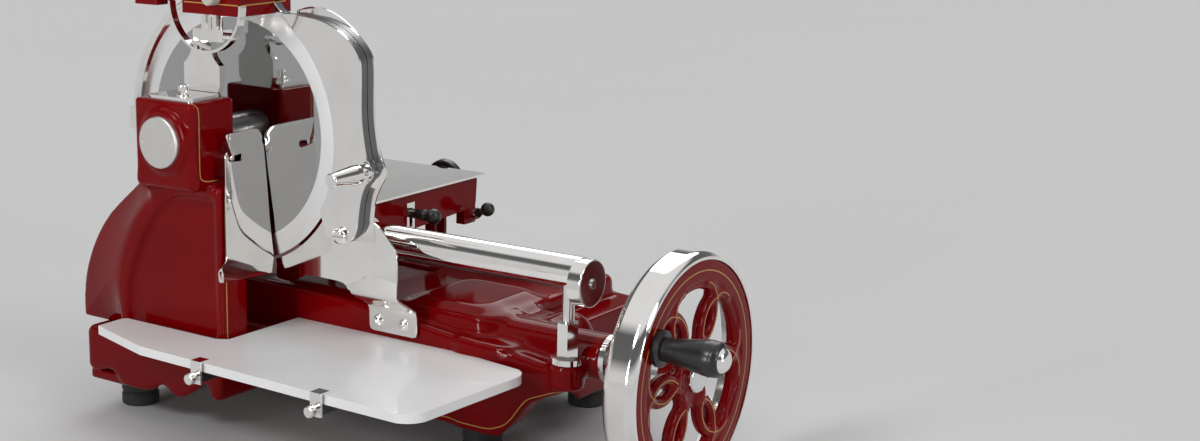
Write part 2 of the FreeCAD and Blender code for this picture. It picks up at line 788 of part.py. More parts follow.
def sharpener_housing():
    """The red sharpener case over the top of the blade and its small end box."""
    shell = box(BOX_LEFT, BOX_RIGHT, BOX_FRONT, BOX_BACK, BOX_LOW, BOX_HIGH)
    shell = soften(shell, 6, lambda edge: edge.BoundBox.ZMin > BOX_LOW.value + 1)
    room = box(BOX_LEFT + 6, BOX_RIGHT - 6, BOX_FRONT + 6, BOX_BACK - 6,
               BOX_LOW + 5, BOX_HIGH - 6)
    slot = box(BOX_LEFT - 5, BOX_RIGHT + 5, -5, 5, BOX_LOW - 5, D.blade_z + D.blade_radius + 6)
    mouth = box(STONE_X - 20, STONE_X + 20, -20, 13, BOX_LOW - 5, BOX_LOW + 10)
    hole = rod(3 + D.run_gap, 110, (STONE_X, BOX_FRONT - 10, STONE_Z), ALONG_Y)
    end = box(BOX_LEFT - 94, BOX_LEFT - 56, -45, -15, BOX_LOW + 3, BOX_HIGH - 8)
    end = soften(end, 5, lambda edge: edge.BoundBox.ZLength > 30)
    seat(group(cut(shell, room, slot, mouth, hole), end), "sharpener_housing")


def sharpener_support():
    """The bottle-shaped stem, its clamp block, hexagon posts and bright arch."""
    x = D.blade_x - 4
    stem = slab("SharpenerStem", [
        (-22, D.column_high), (22, D.column_high), (27, D.column_high + 12),
        (27, BOX_LOW - 57), (15, BOX_LOW - 41, -30), (15, BOX_LOW - 30),
        (-15, BOX_LOW - 30), (-15, BOX_LOW - 41), (-27, BOX_LOW - 57, -30),
        (-27, D.column_high + 12)], 8)
    stem = place(stem, (x, D.column_back - 2, 0), FRONT)
    clamp = box(-22, 22, -16, 4, BOX_LOW - 30, BOX_LOW - 17)
    clamp = soften(clamp, 3, lambda edge: edge.BoundBox.ZLength > 10)
    peg = rod(4, 14, (20, -6, BOX_LOW - 24), ALONG_X)
    clamp = place(fuse(clamp, peg), (x + 14, D.column_back, 0), UPRIGHT)
    posts = []
    for offset in (-8, 8):
        posts.append(hexagon(11, 17, (offset, -6, BOX_LOW - 17)))
    posts = place(group(*posts), (x + 14, D.column_back, 0), UPRIGHT)
    seat(group(stem, clamp, posts), "sharpener_stem")
    arch = new_body("Arch")
    sketch = outline(arch, "ArchHalf", [(51, 0), (54, 0), (54, 9), (51, 9)], "XZ_Plane")
    spin = arch.newObject("PartDesign::Revolution", "Spin")
    spin.Profile = sketch
    spin.ReferenceAxis = (sketch, ["V_Axis"])
    spin.Angle = 180
    under = FRONT * Turn(V(0, 0, 1), 180)
    arch = place(arch, (x + 20, D.column_back - 16, BOX_LOW + 12), under)
    link = rod(6, 56, (BOX_LEFT - 56, -30, BOX_LOW + 22), ALONG_X)
    seat(group(arch, link), "sharpener_arch")


def sharpening_stones():
    """The two stones that meet the edge, each on its own spindle and knob."""
    gap = D.blade_thick / 2 + 0.8
    for label, hand, wall in (("front_stone", -1, BOX_FRONT), ("rear_stone", 1, BOX_BACK)):
        reach = wall * hand
        shape = lathe("Stone", [
            (0, gap), (10, gap), (14, gap + 3), (14, gap + 8), (3, gap + 8),
            (3, reach + 0.5), (9, reach + 0.5), (9, reach + 11), (7, reach + 13, 2),
            (0, reach + 13)])
        turn = ALONG_Y if hand > 0 else FRONT
        seat(shape, label, (STONE_X, 0, STONE_Z), turn)


# ---------------------------------------------------------------- gauge and guards

def scaled(points):
    """Outline points given as parts of the blade's radius."""
    full = []
    for point in points:
        spot = (D.blade_radius * point[0], D.blade_radius * point[1])
        full.append(spot + tuple(point[2:]))
    return full


EDGE = D.blade_radius + D.guard_gap
PIVOT_X = D.blade_x + D.blade_radius * 1.0733
PIVOT_Z = D.blade_z - D.blade_radius * 0.66
KNOB_X = D.blade_x + D.blade_radius * 1.31
KNOB_Z = D.blade_z - D.blade_radius * 0.17


def gauge_cover():
    """The thick polished cover that swings over the blade's edge."""
    low = polar(EDGE, -40)
    high = polar(EDGE, 54)
    points = [low, high + (EDGE,)] + scaled([
        (0.72, 0.895), (0.92, 0.86), (1.127, 0.767, -40), (1.233, 0.667, -25),
        (1.24, 0.51), (1.227, 0.233), (1.293, -0.10, 60), (1.385, -0.13), (1.39, -0.18, -8),
        (1.28, -0.253), (1.213, -0.42, 40), (1.207, -0.5), (1.193, -0.68),
        (1.073, -0.79, -24), (0.933, -0.72, -30)])
    plate = slab("CoverPlate", points, D.gauge_thick)
    pivot = rod(5 + D.run_gap, 40, (PIVOT_X - D.blade_x, PIVOT_Z - D.blade_z, -10))
    knob = rod(4 + D.run_gap, 40, (KNOB_X - D.blade_x, KNOB_Z - D.blade_z, -10))
    seat(cut(plate, pivot, knob), "gauge_cover", (D.blade_x, 0, D.blade_z), FRONT)
    turned = lathe("CoverKnob", [
        (0, 1), (4, 1), (4, D.gauge_thick + 0.3), (9.5, D.gauge_thick + 0.3),
        (9.5, D.gauge_thick + 5), (5.5, D.gauge_thick + 7), (5.5, D.gauge_thick + 12),
        (11, D.gauge_thick + 15), (11, D.gauge_thick + 22), (8, D.gauge_thick + 56),
        (6.5, D.gauge_thick + 58, 2), (0, D.gauge_thick + 58)])
    seat(turned, "cover_knob", (KNOB_X, 0, KNOB_Z), FRONT)
    bolt = lathe("PivotBolt", [
        (0, -2), (5, -2), (5, D.gauge_thick + 0.3), (9, D.gauge_thick + 0.3),
        (9, D.gauge_thick + 3), (6, D.gauge_thick + 6, 5), (0, D.gauge_thick + 6)])
    slot = box(-9, 9, -0.8, 0.8, D.gauge_thick + 4, D.gauge_thick + 8)
    seat(cut(bolt, slot), "cover_pivot_bolt", (PIVOT_X, 0, PIVOT_Z), FRONT)


def gauge_sheet():
    """The thin polished sheet behind the cover."""
    low = polar(EDGE, -35)
    high = polar(EDGE, 54)
    points = [low, high + (EDGE,)] + scaled([
        (0.70, 0.90), (0.953, 0.873), (1.18, 0.767, -40), (1.28, 0.64, -30),
        (1.267, 0.433), (1.293, 0.093), (1.347, -0.133), (1.4, -0.2, -12), (1.293, -0.46, 30),
        (1.247, -0.5), (1.23, -0.72), (1.0, -0.76)])
    plate = slab("SheetPlate", points, 1.7)
    hole = rod(5, 10, (PIVOT_X - D.blade_x, PIVOT_Z - D.blade_z, -5))
    seat(cut(plate, hole), "gauge_sheet", (D.blade_x, 2, D.blade_z), FRONT)


def lower_plate():
    """The polished plate that ties the gauge to the base, with its bent foot."""
    low = polar(EDGE, -72)
    high = polar(EDGE, -40)
    points = [low, high + (EDGE,)] + scaled([
        (1.0, -0.5), (1.313, -0.547), (1.48, -0.72, -30), (1.5, -1.08),
        (1.273, -1.107), (1.053, -1.087), (1.04, -1.04), (0.62, -1.047)])
    plate = place(slab("LowerPlate", points, 2), (D.blade_x, 4, D.blade_z), FRONT)
    foot_high = D.blade_z - D.blade_radius * 1.12
    front = D.base_front
    foot = slab("PlateFoot", [
        (2, foot_high + 10), (2, foot_high + 2), (front - 2.4, foot_high - 9),
        (front - 2.4, foot_high - 40), (front, foot_high - 40), (front, foot_high - 8),
        (4, foot_high + 3.5), (4, foot_high + 10)], 66)
    place(foot, (D.blade_x + 170, 0, 0), SIDE)
    seat(fuse(plate, foot), "lower_plate")


def flange_bolts():
    """The two slotted bolts through the lower plate's foot."""
    foot_high = D.blade_z - D.blade_radius * 1.12
    front = D.base_front
    bolts = []
    for offset in (183, 218):
        head = lathe("BoltHead", [(0, 0), (6.5, 0), (6.5, 1.5), (4, 4, 4), (0, 4)])
        head = cut(head, box(-8, 8, -0.7, 0.7, 2.4, 6))
        bolts.append(place(head, (offset, 0, 0), UPRIGHT))
    return place(group(*bolts), (D.blade_x, front - 2.4, foot_high - 33), FRONT)


def deflector():
    """The cranked slice deflector beside the column, and the pin it hangs on."""
    near = 0 - D.blade_thick
    high = D.blade_z
    face = slab("DeflectorFace", [
        (-62, high - 137), (-16, high - 162), (near, high - 168), (near, high - 6),
        (near - 16, high + 6, 22), (-39, high + 9), (-60, high + 3), (-60, high - 30),
        (-50, high - 38), (-60, high - 52)], 40)
    place(face, (D.blade_x + 25, 0, 0), SIDE)
    wall = D.blade_x + D.column_half - 2
    low = D.shell_right + 1
    bent = slab("DeflectorBend", [
        (wall, high + 40), (wall, high - 44), (low, D.column_low - 14), (low, high - 200),
        (low + 2, high - 200), (low + 2, D.column_low - 14), (wall + 2, high - 43),
        (wall + 2, high + 40)], 90)
    place(bent, (0, 10, 0), FRONT)
    hole = rod(4, 60, (D.blade_x, D.column_back - 4, high - 29), ALONG_X)
    seat(cut(common(face, bent), hole), "deflector")
    pin = fuse(rod(4, 11, turn=ALONG_X), rod(6, 2, (5, 0, 0), ALONG_X))
    pin = place(pin, (wall - 3, D.column_back - 4, high - 29), UPRIGHT)
    seat(group(pin, cap_screws(), flange_bolts()), "fixing_screws")


# ---------------------------------------------------------------- tray

def tray():
    """The white slice tray, its black bars and its spring clips."""
    back = D.base_front - 0.3
    front = D.column_front
    plate = slab("TrayPlate", [
        (-245, front - 25), (-149, front - 54), (105, front - 62), (211, front - 64),
        (232, front - 42, 26), (240, -6), (226, 17, 26), (146, back), (-88, back),
        (-90, D.shell_front + 0), (-103, front + 16.5), (-240, front + 16.5),
        (-245, front + 8, 8)], D.tray_thick)
    seat(plate, "slice_tray", (0, 0, D.tray_top - D.tray_thick))
    low = D.tray_top - D.tray_thick
    bars = []
    clips = []
    for x, edge in ((-57, front - 57), (113, front - 62)):
        bars.append(box(x - 6, x + 6, edge - 3, D.base_front, low - 11, low))
        face = box(x - 7, x + 7, edge - 5.4, edge - 3, low - 13, D.tray_top + 2)
        lip = box(x - 7, x + 7, edge - 3, edge + 9, D.tray_top, D.tray_top + 2)
        hole = rod(2.5 + D.run_gap, 20, (x, edge - 10, low - 5.5), ALONG_Y)
        clips.append(cut(fuse(face, lip), hole))
    holes = []
    for x, edge in ((-57, front - 57), (113, front - 62)):
        holes.append(rod(2.5 + D.run_gap, 14, (x, edge - 4, low - 5.5), ALONG_Y))
    seat(cut(fuse(*bars), *holes), "tray_brackets")
    seat(group(*clips), "tray_clips")
    for label, x, edge in (("clip_knob_left", -57, front - 57),
                           ("clip_knob_right", 113, front - 62)):
        knob = lathe("ClipKnob", [
            (0, -10), (2.5, -10), (2.5, 2.7), (5, 2.7), (5, 6), (6, 8), (6, 13),
            (4.5, 14.5, 1.6), (0, 14.5)])
        seat(knob, label, (x, edge - 3, low - 5.5), FRONT)


# ---------------------------------------------------------------- guide tube and rail

def guide_tube():
    """The polished tube, its end collar, its post and its left bracket."""
    left = D.carriage_left - 16
    seat(rod(D.tube_radius, D.tube_end - left, turn=ALONG_X), "guide_tube",
         (left, D.tube_y, D.tube_z))
    drop = 9.5
    head = rod(D.tube_radius + 8.5, 16, (-4, 0, -drop), ALONG_X)
    head = soften(head, 1.5, lambda edge: edge.BoundBox.XMin > 11)
    seat_bore = rod(D.tube_radius, 20, (-20, 0, 0), ALONG_X)
    screw = cut(rod(5, 2, (12, 0, -drop), ALONG_X), box(13, 16, -0.7, 0.7, -20, 0))
    collar = cut(head, seat_bore)
    seat(fuse(collar, screw), "tube_end_collar", (D.tube_end, D.tube_y, D.tube_z))
    foot = D.drive_z
    post = rod(6.25, D.tube_z - foot)
    under = rod(D.tube_radius, 40, (-20, 0, D.tube_z - foot), ALONG_X)
    seat(cut(post, under), "post_rod", (D.post_x, D.tube_y, foot))
    washer = ring(18, 6.25, 6)
    nut = cut(hexagon(21, 37, (0, 0, 6)), rod(6.25, 50, (0, 0, -5)))
    seat(group(washer, nut), "post_nut_and_washer", (D.post_x, D.tube_y, foot))


def rear_rail():
    """The flat rail on the deck that the carriage rollers run on."""
    rail = box(D.carriage_left - 6, D.base_right - 30, D.rail_y - 6, D.rail_y + 6,
               D.base_deck, D.base_deck + 12)
    seat(rail, "rear_rail")


# ---------------------------------------------------------------- carriage and table

TUBE_SEAT = D.tube_radius + D.bush_wall
ROLLER_RADIUS = 12


def carriage():
    """The red carriage on the tube, with its drive pin and roller forks."""
    left = D.carriage_left
    right = D.carriage_right
    low = D.carriage_low
    top = D.carriage_top
    body = slab("CarriageBody", [
        (20, D.tube_z), (64, low), (235, low + 8), (241, low + 16, 8), (243, top - 2),
        (241, top, 2), (18, top), (16, top - 2, 2)], right - left)
    place(body, (left, 0, 0), SIDE)
    sleeve = rod(D.tube_radius + 8, right - left, (left, D.tube_y, D.tube_z), ALONG_X)
    room = box(left + 8, right - 8, D.tube_y + 28, 228, low + 10, top + 5)
    bore = rod(TUBE_SEAT, right - left + 10, (left - 5, D.tube_y, D.tube_z), ALONG_X)
    screw = rod(10, 40, (D.feed_x, 222, D.feed_z), ALONG_Y)
    slit = box(right - 10, right + 2, 108, 114, low + 10, low + 30)
    boss = box(right - 12, right, 218, 240, low - 10, low + 18)
    pivot = rod(4 + D.run_gap, 12, (right - 9, 231, low - 1), ALONG_X)
    pin = rod(5, low - D.base_deck + 15, (left + 20, D.crank_y, D.base_deck - 7.5))
    forks = []
    axle_z = D.base_deck + 12 + 0.3 + ROLLER_RADIUS
    x = left + 160
    for y in (D.rail_y - 12, D.rail_y + 7):
        forks.append(box(x - 7, x + 7, y, y + 5, axle_z - 8, low + 7.5))
    hole = rod(3, 40, (x, D.rail_y - 20, axle_z), ALONG_Y)
    hollow = cut(fuse(body, sleeve, boss), room, bore, screw, slit, pivot)
    seat(fuse(hollow, pin, cut(fuse(*forks), hole)), "carriage")
    roller = ring(ROLLER_RADIUS, 3 + D.run_gap, 10.4)
    seat(roller, "carriage_roller", (x, D.rail_y - 5.2, axle_z), ALONG_Y)
    axle = rod(3, 25, (x, D.rail_y - 12.5, axle_z), ALONG_Y)
    inner = D.tube_radius + D.run_gap
    first = ring(TUBE_SEAT, inner, 26)
    first = place(first, (left, 0, 0), ALONG_X)
    second = place(ring(TUBE_SEAT, inner, 26), (right - 26, 0, 0), ALONG_X)
    pair = place(group(first, second), (0, D.tube_y, D.tube_z), UPRIGHT)
    nut = place(ring(10, 6 + D.run_gap, 11), (D.feed_x, 229, D.feed_z), ALONG_Y)
    plate = cut(box(0, 2.5, -7, 7, 0, 34), box(-1, 4, -2.8, 2.8, 6, 28))
    plate = place(plate, (right, 111, low + 1), UPRIGHT)
    seat(group(pair, nut, axle, plate), "carriage_fittings")


def meat_table():
    """The polished table with its guide strips and the feed screw's lug."""
    left = D.carriage_left
    right = D.carriage_right
    low = D.table_top - D.table_thick
    sheet_part = slab("TableSheet", rounded(left - 15, right + 10, 15, 247, 3), D.table_thick)
    place(sheet_part, (0, 0, low), UPRIGHT)
    strips = []
    for x in (left + 1, right - 7):
        strips.append(box(x, x + 6, 20, 224, D.carriage_top + D.near_gap, low))
    lug = box(D.feed_x - 12, D.feed_x + 12, 244, 250, D.feed_z - 12, low)
    bore = rod(6 + D.run_gap, 20, (D.feed_x, 240, D.feed_z), ALONG_Y)
    fence = box(left - 15, left - 12, 15, 247, low, D.table_top + 26)
    fence = soften(fence, 12, lambda edge: edge.BoundBox.YLength < 1 and edge.BoundBox.XLength > 2
                   and edge.BoundBox.ZMin > D.table_top.value + 20)
    seat(cut(fuse(sheet_part, *strips, lug, fence), bore), "meat_table")
    screw = lathe("FeedScrew", [
        (0, 0), (5, 0), (6, 1), (6, 180.5), (10, 180.5), (10, 188.5), (6, 188.5), (6, 202),
        (0, 202)])
    seat(screw, "feed_screw", (D.feed_x, 70, D.feed_z), ALONG_Y)
    wheel = lathe("FeedWheel", [
        (6, 0), (11, 0), (11, 3), (18, 4), (22, 1), (25, 1, 2.2), (26, 7), (24, 11, 4),
        (20, 11), (17, 8), (10, 8), (10, 14), (6, 14)])
    seat(wheel, "feed_handwheel", (D.feed_x, 258.5, D.feed_z), ALONG_Y)


def carriage_levers():
    """The locking lever in its slot and the release lever under the rear corner."""
    right = D.carriage_right
    low = D.carriage_low
    lever = fuse(
        rod(2.4, 47, (-13, 0, 0), ALONG_X),
        ball(8, (35, 0, 0)),
        rod(5, 4, (-13, 0, 0), ALONG_X))
    seat(lever, "locking_lever", (right, 111, low + 23))
    pin = rod(4, 10, (-8, 0, 0), ALONG_X)
    collar = rod(7, 8, (0.3, 0, 0), ALONG_X)
    aim = Turn(V(0, 0, 1), V(25, -7, 11))
    arm = rod(2.6, 27, (5, 0, 0), aim)
    knob = ball(7, (30, -8, 12.5))
    seat(fuse(pin, collar, arm, knob), "release_lever", (right, 231, low - 1))


# ---------------------------------------------------------------- flywheel

def spoke(turn):
    """Two ribs that cross near the rim and part again toward the hub."""
    rib = D.spoke_rib
    ribs = []
    scale = D.wheel_disc_radius / 119
    for hand in (1, -1):
        bow = 33.9
        centre = (scale * 59, scale * 22.9 * hand)
        first = -90 - 47.5 if hand > 0 else 90 - 47.5
        piece = torus(scale * bow, rib, sweep=95)
        spin = Turn(V(0, 0, 1), turn) * Turn(V(0, 0, 1), first)
        flat = math.radians(turn)
        x = centre[0] * math.cos(flat) - centre[1] * math.sin(flat)
        y = centre[0] * math.sin(flat) + centre[1] * math.cos(flat)
        ribs.append(place(piece, (x, y, -8), spin))
        angle = math.degrees(math.atan2(18 * hand, 22))
        lean = Turn(V(0, 0, 1), turn + angle) * Turn(V(0, 1, 0), 90)
        x0 = scale * (84 * math.cos(flat))
        y0 = scale * (84 * math.sin(flat))
        ribs.append(place(rod(rib, 26), (x0, y0, -8), lean))
    return ribs


def flywheel():
    """The ornate red wheel, its bright rim, hub cap and handle."""
    disc = D.wheel_disc_radius
    plate = lathe("WheelPlate", [
        (disc - 19, -15), (disc, -15), (disc, -1), (disc - 1.5, 0, 1.5),
        (disc - 16, 0), (disc - 19, -3, 3)])
    hub = lathe("WheelHub", [
        (0, -34), (20, -34), (22, -32, 2), (32, -15), (32, -6), (30, -4, 2), (0, -4)])
    pieces = [plate, hub]
    for number in range(6):
        pieces.extend(spoke(60 * number + 2))
    reach_y = D.handle_reach * -0.853
    reach_z = D.handle_reach * 0.522
    pieces.append(rod(14, 15, (reach_y, reach_z, -15)))
    lug = box(0, disc - 17 - D.handle_reach, -11, 11, -13, -2)
    pieces.append(place(group(lug), (reach_y, reach_z, 0), Turn(V(0, 0, 1), 148.54)))
    bore = rod(D.drive_shaft_radius, 50, (0, 0, -40))
    socket = rod(5, 30, (reach_y, reach_z, -20))
    whole = cut(fuse(*pieces), bore, socket)
    at = (D.wheel_x, D.drive_y, D.drive_z)
    seat(whole, "flywheel_casting", at, SIDE)
    rim = lathe("WheelRim", [
        (disc, -D.rim_depth), (disc + 3, -D.rim_depth), (D.wheel_radius, -D.rim_depth + 8, 12),
        (D.wheel_radius, -9), (disc + 3, 1, 12), (disc, 1)])
    seat(rim, "flywheel_rim", at, SIDE)
    cap = lathe("HubCap", [
        (0, -4), (17, -4), (17, 2), (14, 5, 3), (0, 5.5)])
    seat(cap, "hub_cap", at, SIDE)
    spot = (D.wheel_x, D.drive_y + reach_y, D.drive_z + reach_z)
    flange = lathe("HandleFlange", [
        (5, 0), (16.5, 0), (18.5, 2, 2), (18.5, 6), (15, 8), (5, 8)])
    stud = lathe("HandleStud", [
        (0, -15), (5, -15), (5, 8.3), (4, 8.3), (4, D.grip_length), (0, D.grip_length)])
    seat(fuse(flange, stud), "handle_spindle", spot, SIDE)
    bore = 4 + D.run_gap
    end = D.grip_length + 8.3
    grip = lathe("HandleGrip", [
        (bore, 8.3), (11, 8.3), (12, 9.3, 1), (13, 22), (17.2, end - 20), (17.5, end - 8, 30),
        (14, end, 9), (12.7, end), (12.7, end - 3), (5, end - 3), (5, D.grip_length + 1),
        (bore, D.grip_length + 1)])
    seat(grip, "handle_grip", spot, SIDE)
    cap = lathe("HandleCap", [
        (0, end - 3), (12.5, end - 3), (12.5, end), (7, end + 5.5, 12), (0, end + 5.5)])
    seat(cap, "handle_end_cap", spot, SIDE)
    band = ring(D.housing_radius + 1, D.drive_shaft_radius + 1, 6)
    seat(band, "housing_ring", (D.housing_end, D.drive_y, D.drive_z), SIDE)


# ---------------------------------------------------------------- drive train

def tooth_points(root, tip, wide, mid, thin):
    """One straight-flanked tooth drawn on the +X side."""
    half = (root + tip) / 2
    return [(root - 1, -wide), (root, -wide), (half, -mid), (tip, -thin), (tip, thin),
            (half, mid), (root, wide), (root - 1, wide)]


def gear(name, root, tip, widths, count, thick, bore):
    """A gear wheel or sprocket."""
    body = new_body(name)
    sketch = outline(body, name + "Half", [
        (bore, 0), (root, 0), (root, thick), (bore, thick)], "XZ_Plane")
    spin = body.newObject("PartDesign::Revolution", "Spin")
    spin.Profile = sketch
    spin.ReferenceAxis = (sketch, ["V_Axis"])
    spin.Angle = 360
    drawn = outline(body, name + "Tooth", tooth_points(root, tip, *widths))
    tooth = pad(body, drawn, thick)
    pattern = body.newObject("PartDesign::PolarPattern", "Teeth")
    pattern.Originals = [tooth]
    pattern.Axis = (drawn, ["N_Axis"])
    pattern.Angle = 360
    pattern.Occurrences = count
    body.Tip = pattern
    return body


def bevel(name, first_slot):
    """A mitre bevel gear with its apex at the origin and its hub below."""
    unit = D.bevel_radius / 18
    blank = lathe(name, [
        (D.drive_shaft_radius, unit * -11), (unit * 13.8, unit * -11),
        (unit * 20.8, unit * -18), (unit * 17.5, unit * -21.3), (unit * 13, unit * -21.3),
        (unit * 13, unit * -27), (D.drive_shaft_radius, unit * -27)])
    wide = 5.7
    slots = []
    for number in range(12):
        degrees = first_slot + 30 * number
        angle = math.radians(degrees)
        along = math.sqrt(0.5)
        x = unit * (8 * along + -2.6 * along) * math.cos(angle) + unit * wide / 2 * math.sin(angle)
        y = unit * (8 * along + -2.6 * along) * math.sin(angle) - unit * wide / 2 * math.cos(angle)
        z = unit * (-8 * along - 2.6 * along)
        turn = Turn(V(0, 0, 1), degrees) * Turn(V(0, 1, 0), 45)
        slots.append(bar(unit * 26, unit * wide, unit * 8, (x, y, z), turn))
    return cut(blank, *slots)


def shafts():
    """The main shaft, the cross shaft and their bushes and bevels."""
    start = D.cross_x + 12
    seat(rod(D.drive_shaft_radius, D.wheel_x - 4 - start, turn=ALONG_X), "main_shaft",
         (start, D.drive_y, D.drive_z))
    inner = D.drive_shaft_radius + D.run_gap
    rings = []
    for x, wide in ((D.cross_x + 50, 14), (D.base_right - 10, 22), (D.housing_end - 32, 32)):
        rings.append(place(ring(HOUSE_BORE, inner, wide), (x, 0, 0), ALONG_X))
    main_rings = place(group(*rings), (0, D.drive_y, D.drive_z), UPRIGHT)
    away = Turn(V(0, 1, 0), -90)
    first = place(bevel("MainBevel", 15), (D.cross_x, D.drive_y, D.drive_z), away)
    second = place(bevel("CrankBevel", 15), (D.crank_x, D.drive_y, D.drive_z), away)
    seat(group(first, second), "main_shaft_bevels")
    seat(bevel("CrossBevel", 0), "bevel_gear", (D.cross_x, D.drive_y, D.drive_z), ALONG_Y)
    front = D.chain_y - 7.5
    seat(rod(D.drive_shaft_radius, D.drive_y - 12 - front), "cross_shaft",
         (D.cross_x, front, D.drive_z), ALONG_Y)
    rings = []
    for y in (D.shell_back + 3, D.base_front - 8):
        rings.append(place(ring(HOUSE_BORE, inner, 13), (0, y, 0), ALONG_Y))
    cross_rings = place(group(*rings), (D.cross_x, 0, D.drive_z), UPRIGHT)
    bush = ring(HOUSE_BORE, inner, D.gear_low - D.base_floor - 31)
    bush = place(bush, (D.crank_x, D.drive_y, D.base_floor + 27), UPRIGHT)
    whole = group(main_rings, cross_rings, bush, blade_bearings(), crank_stud())
    seat(whole, "bushes_and_stud")


def chain_radius(teeth):
    """The pitch radius of a sprocket."""
    return D.chain_pitch / (2 * math.sin(math.pi / teeth))


def chain_line(big, small, shift):
    """The closed outline of the chain at a distance from its pins."""
    run_x = D.blade_x - D.cross_x
    run_z = D.blade_z - D.drive_z
    span = math.hypot(run_x.value, run_z.value)
    lean = math.degrees(math.atan2(run_z.value, run_x.value))
    fall = math.degrees(math.asin((big - small).value / span))
    right = lean - 90 + fall
    left = lean + 90 - fall
    big = big + shift
    small = small + shift
    low = polar(big, 270)
    top = polar(small, (left + right) / 2)
    first = polar(big, left)
    last = polar(big, right)
    rise = polar(small, right)
    fall_at = polar(small, left)
    return [first, low + (big,), last + (big,),
            (run_x + rise[0], run_z + rise[1]),
            (run_x + top[0], run_z + top[1], small),
            (run_x + fall_at[0], run_z + fall_at[1], small)]


def chain_drive():
    """The sprockets and the chain that turn the blade."""
    big = chain_radius(25)
    small = chain_radius(9)
    wheel = gear("BigSprocket", big - 7, big - 2.4, (3.6, 2.8, 1.6), 25, 4, D.drive_shaft_radius)
    seat(wheel, "drive_sprocket", (D.cross_x, D.chain_y + 2, D.drive_z), FRONT)
    wheel = gear("SmallSprocket", small - 7, small - 2.4, (3.4, 2.6, 1.5), 9, 4,
                 D.blade_shaft_radius)
    seat(wheel, "blade_sprocket", (D.blade_x, D.chain_y + 2, D.blade_z), FRONT)
    sides = []
    for lift in (-4.4, 2.6):
        outer = slab("ChainOuter", chain_line(big, small, 4), 1.8)
        inner = slab("ChainInner", chain_line(big, small, -4), 4)
        outer = place(outer, (0, 0, lift), UPRIGHT)
        inner = place(inner, (0, 0, lift - 1), UPRIGHT)
        sides.append(cut(outer, inner))
    pins = []
    for x, z in chain_stations(big, small, 25):
        pins.append(rod(1.7, 9.6, (x, z, -4.8)))
    seat(fuse(*sides, *pins), "drive_chain", (D.cross_x, D.chain_y, D.drive_z), FRONT)


def chain_stations(big, small, count):
    """Evenly spaced points along the chain."""
    run_x = D.blade_x - D.cross_x
    run_z = D.blade_z - D.drive_z
    span = math.hypot(run_x.value, run_z.value)
    lean = math.atan2(run_z.value, run_x.value)
    fall = math.asin((big - small).value / span)
    straight = span * math.cos(fall)
    wrap_small = math.pi - 2 * fall
    wrap_big = math.pi + 2 * fall
    total = 2 * straight + wrap_small * small.value + wrap_big * big.value
    right = lean - math.pi / 2 + fall
    left = lean + math.pi / 2 - fall
    points = []
    for number in range(count):
        travel = total * number / count
        if travel < straight:
            part = travel / straight
            low = polar(big, math.degrees(right))
            high = polar(small, math.degrees(right))
            x = low[0] * (1 - part) + (run_x + high[0]) * part
            z = low[1] * (1 - part) + (run_z + high[1]) * part
        elif travel < straight + wrap_small * small.value:
            angle = right + (travel - straight) / small.value
            spot = polar(small, math.degrees(angle))
            x = run_x + spot[0]
            z = run_z + spot[1]
        elif travel < 2 * straight + wrap_small * small.value:
            part = (travel - straight - wrap_small * small.value) / straight
            low = polar(big, math.degrees(left))
            high = polar(small, math.degrees(left))
            x = (run_x + high[0]) * (1 - part) + low[0] * part
            z = (run_z + high[1]) * (1 - part) + low[1] * part
        else:
            rest = travel - 2 * straight - wrap_small * small.value
            angle = left + rest / big.value
            x, z = polar(big, math.degrees(angle))
        points.append((x, z))
    return points


def crank_drive():
    """The upright jack shaft, the spur pair, the crank and its rod."""
    unit = D.bevel_radius / 18
    at = (D.crank_x, D.drive_y, D.drive_z)
    seat(bevel("JackBevel", 0), "jack_bevel", at, UPRIGHT)
    bottom = D.base_floor + 24
    shaft = rod(D.drive_shaft_radius, D.drive_z - unit * 11.5 - bottom)
    pinion = gear("JackPinion", D.pinion_radius - 3.2, D.pinion_radius + 2.6, (3.0, 2.2, 1.3),
                  12, 8, D.drive_shaft_radius - 1)
    pinion = place(pinion, (0, 0, D.gear_low - bottom), UPRIGHT)
    seat(fuse(shaft, pinion), "jack_shaft", (D.crank_x, D.drive_y, bottom))
    radius = D.crank_y - D.drive_y - D.pinion_radius
    wheel = gear("CrankGear", radius - 3.2, radius + 2.6, (3.0, 2.2, 1.3), 54, 8,
                 8 + D.run_gap)
    pin = rod(6, D.rod_z + 6 - D.gear_low, (-D.crank_radius, 0, 0))
    shoulder = rod(9, D.rod_z - 0.3 - D.gear_low, (-D.crank_radius, 0, 0))
    hub = ring(14, 8 + D.run_gap, 15)
    windows = [rod(16, 20, polar(48, 36 + 72 * number) + (-5,)) for number in range(5)]
    seat(fuse(cut(wheel, *windows), hub, pin, shoulder), "crank_gear",
         (D.crank_x, D.crank_y, D.gear_low), UPRIGHT)


def crank_stud():
    """The fixed stud that the crank gear turns on."""
    stud = lathe("CrankStud", [
        (0, 0), (7, 0), (7, 12), (13, 12), (13, D.gear_low - D.base_floor - 27 - 0.3),
        (8, D.gear_low - D.base_floor - 27 - 0.3), (8, D.gear_low - D.base_floor - 27 + 15.3),
        (12, D.gear_low - D.base_floor - 27 + 15.3), (12, D.gear_low - D.base_floor - 27 + 18),
        (0, D.gear_low - D.base_floor - 27 + 18)])
    return place(stud, (D.crank_x, D.crank_y, D.base_floor + 27), UPRIGHT)


def connecting_rod():
    """The flat rod that carries the crank's stroke to the carriage."""
    shaft = box(-D.rod_length, 0, -6, 6, 0, 6)
    ends = [rod(10, 6), rod(9, 6, (-D.rod_length, 0, 0))]
    holes = [rod(6 + D.run_gap, 10, (0, 0, -2)), rod(5.3, 10, (-D.rod_length, 0, -2))]
    seat(cut(fuse(shaft, *ends), *holes), "connecting_rod",
         (D.crank_x - D.crank_radius, D.crank_y, D.rod_z))


# ---------------------------------------------------------------- build

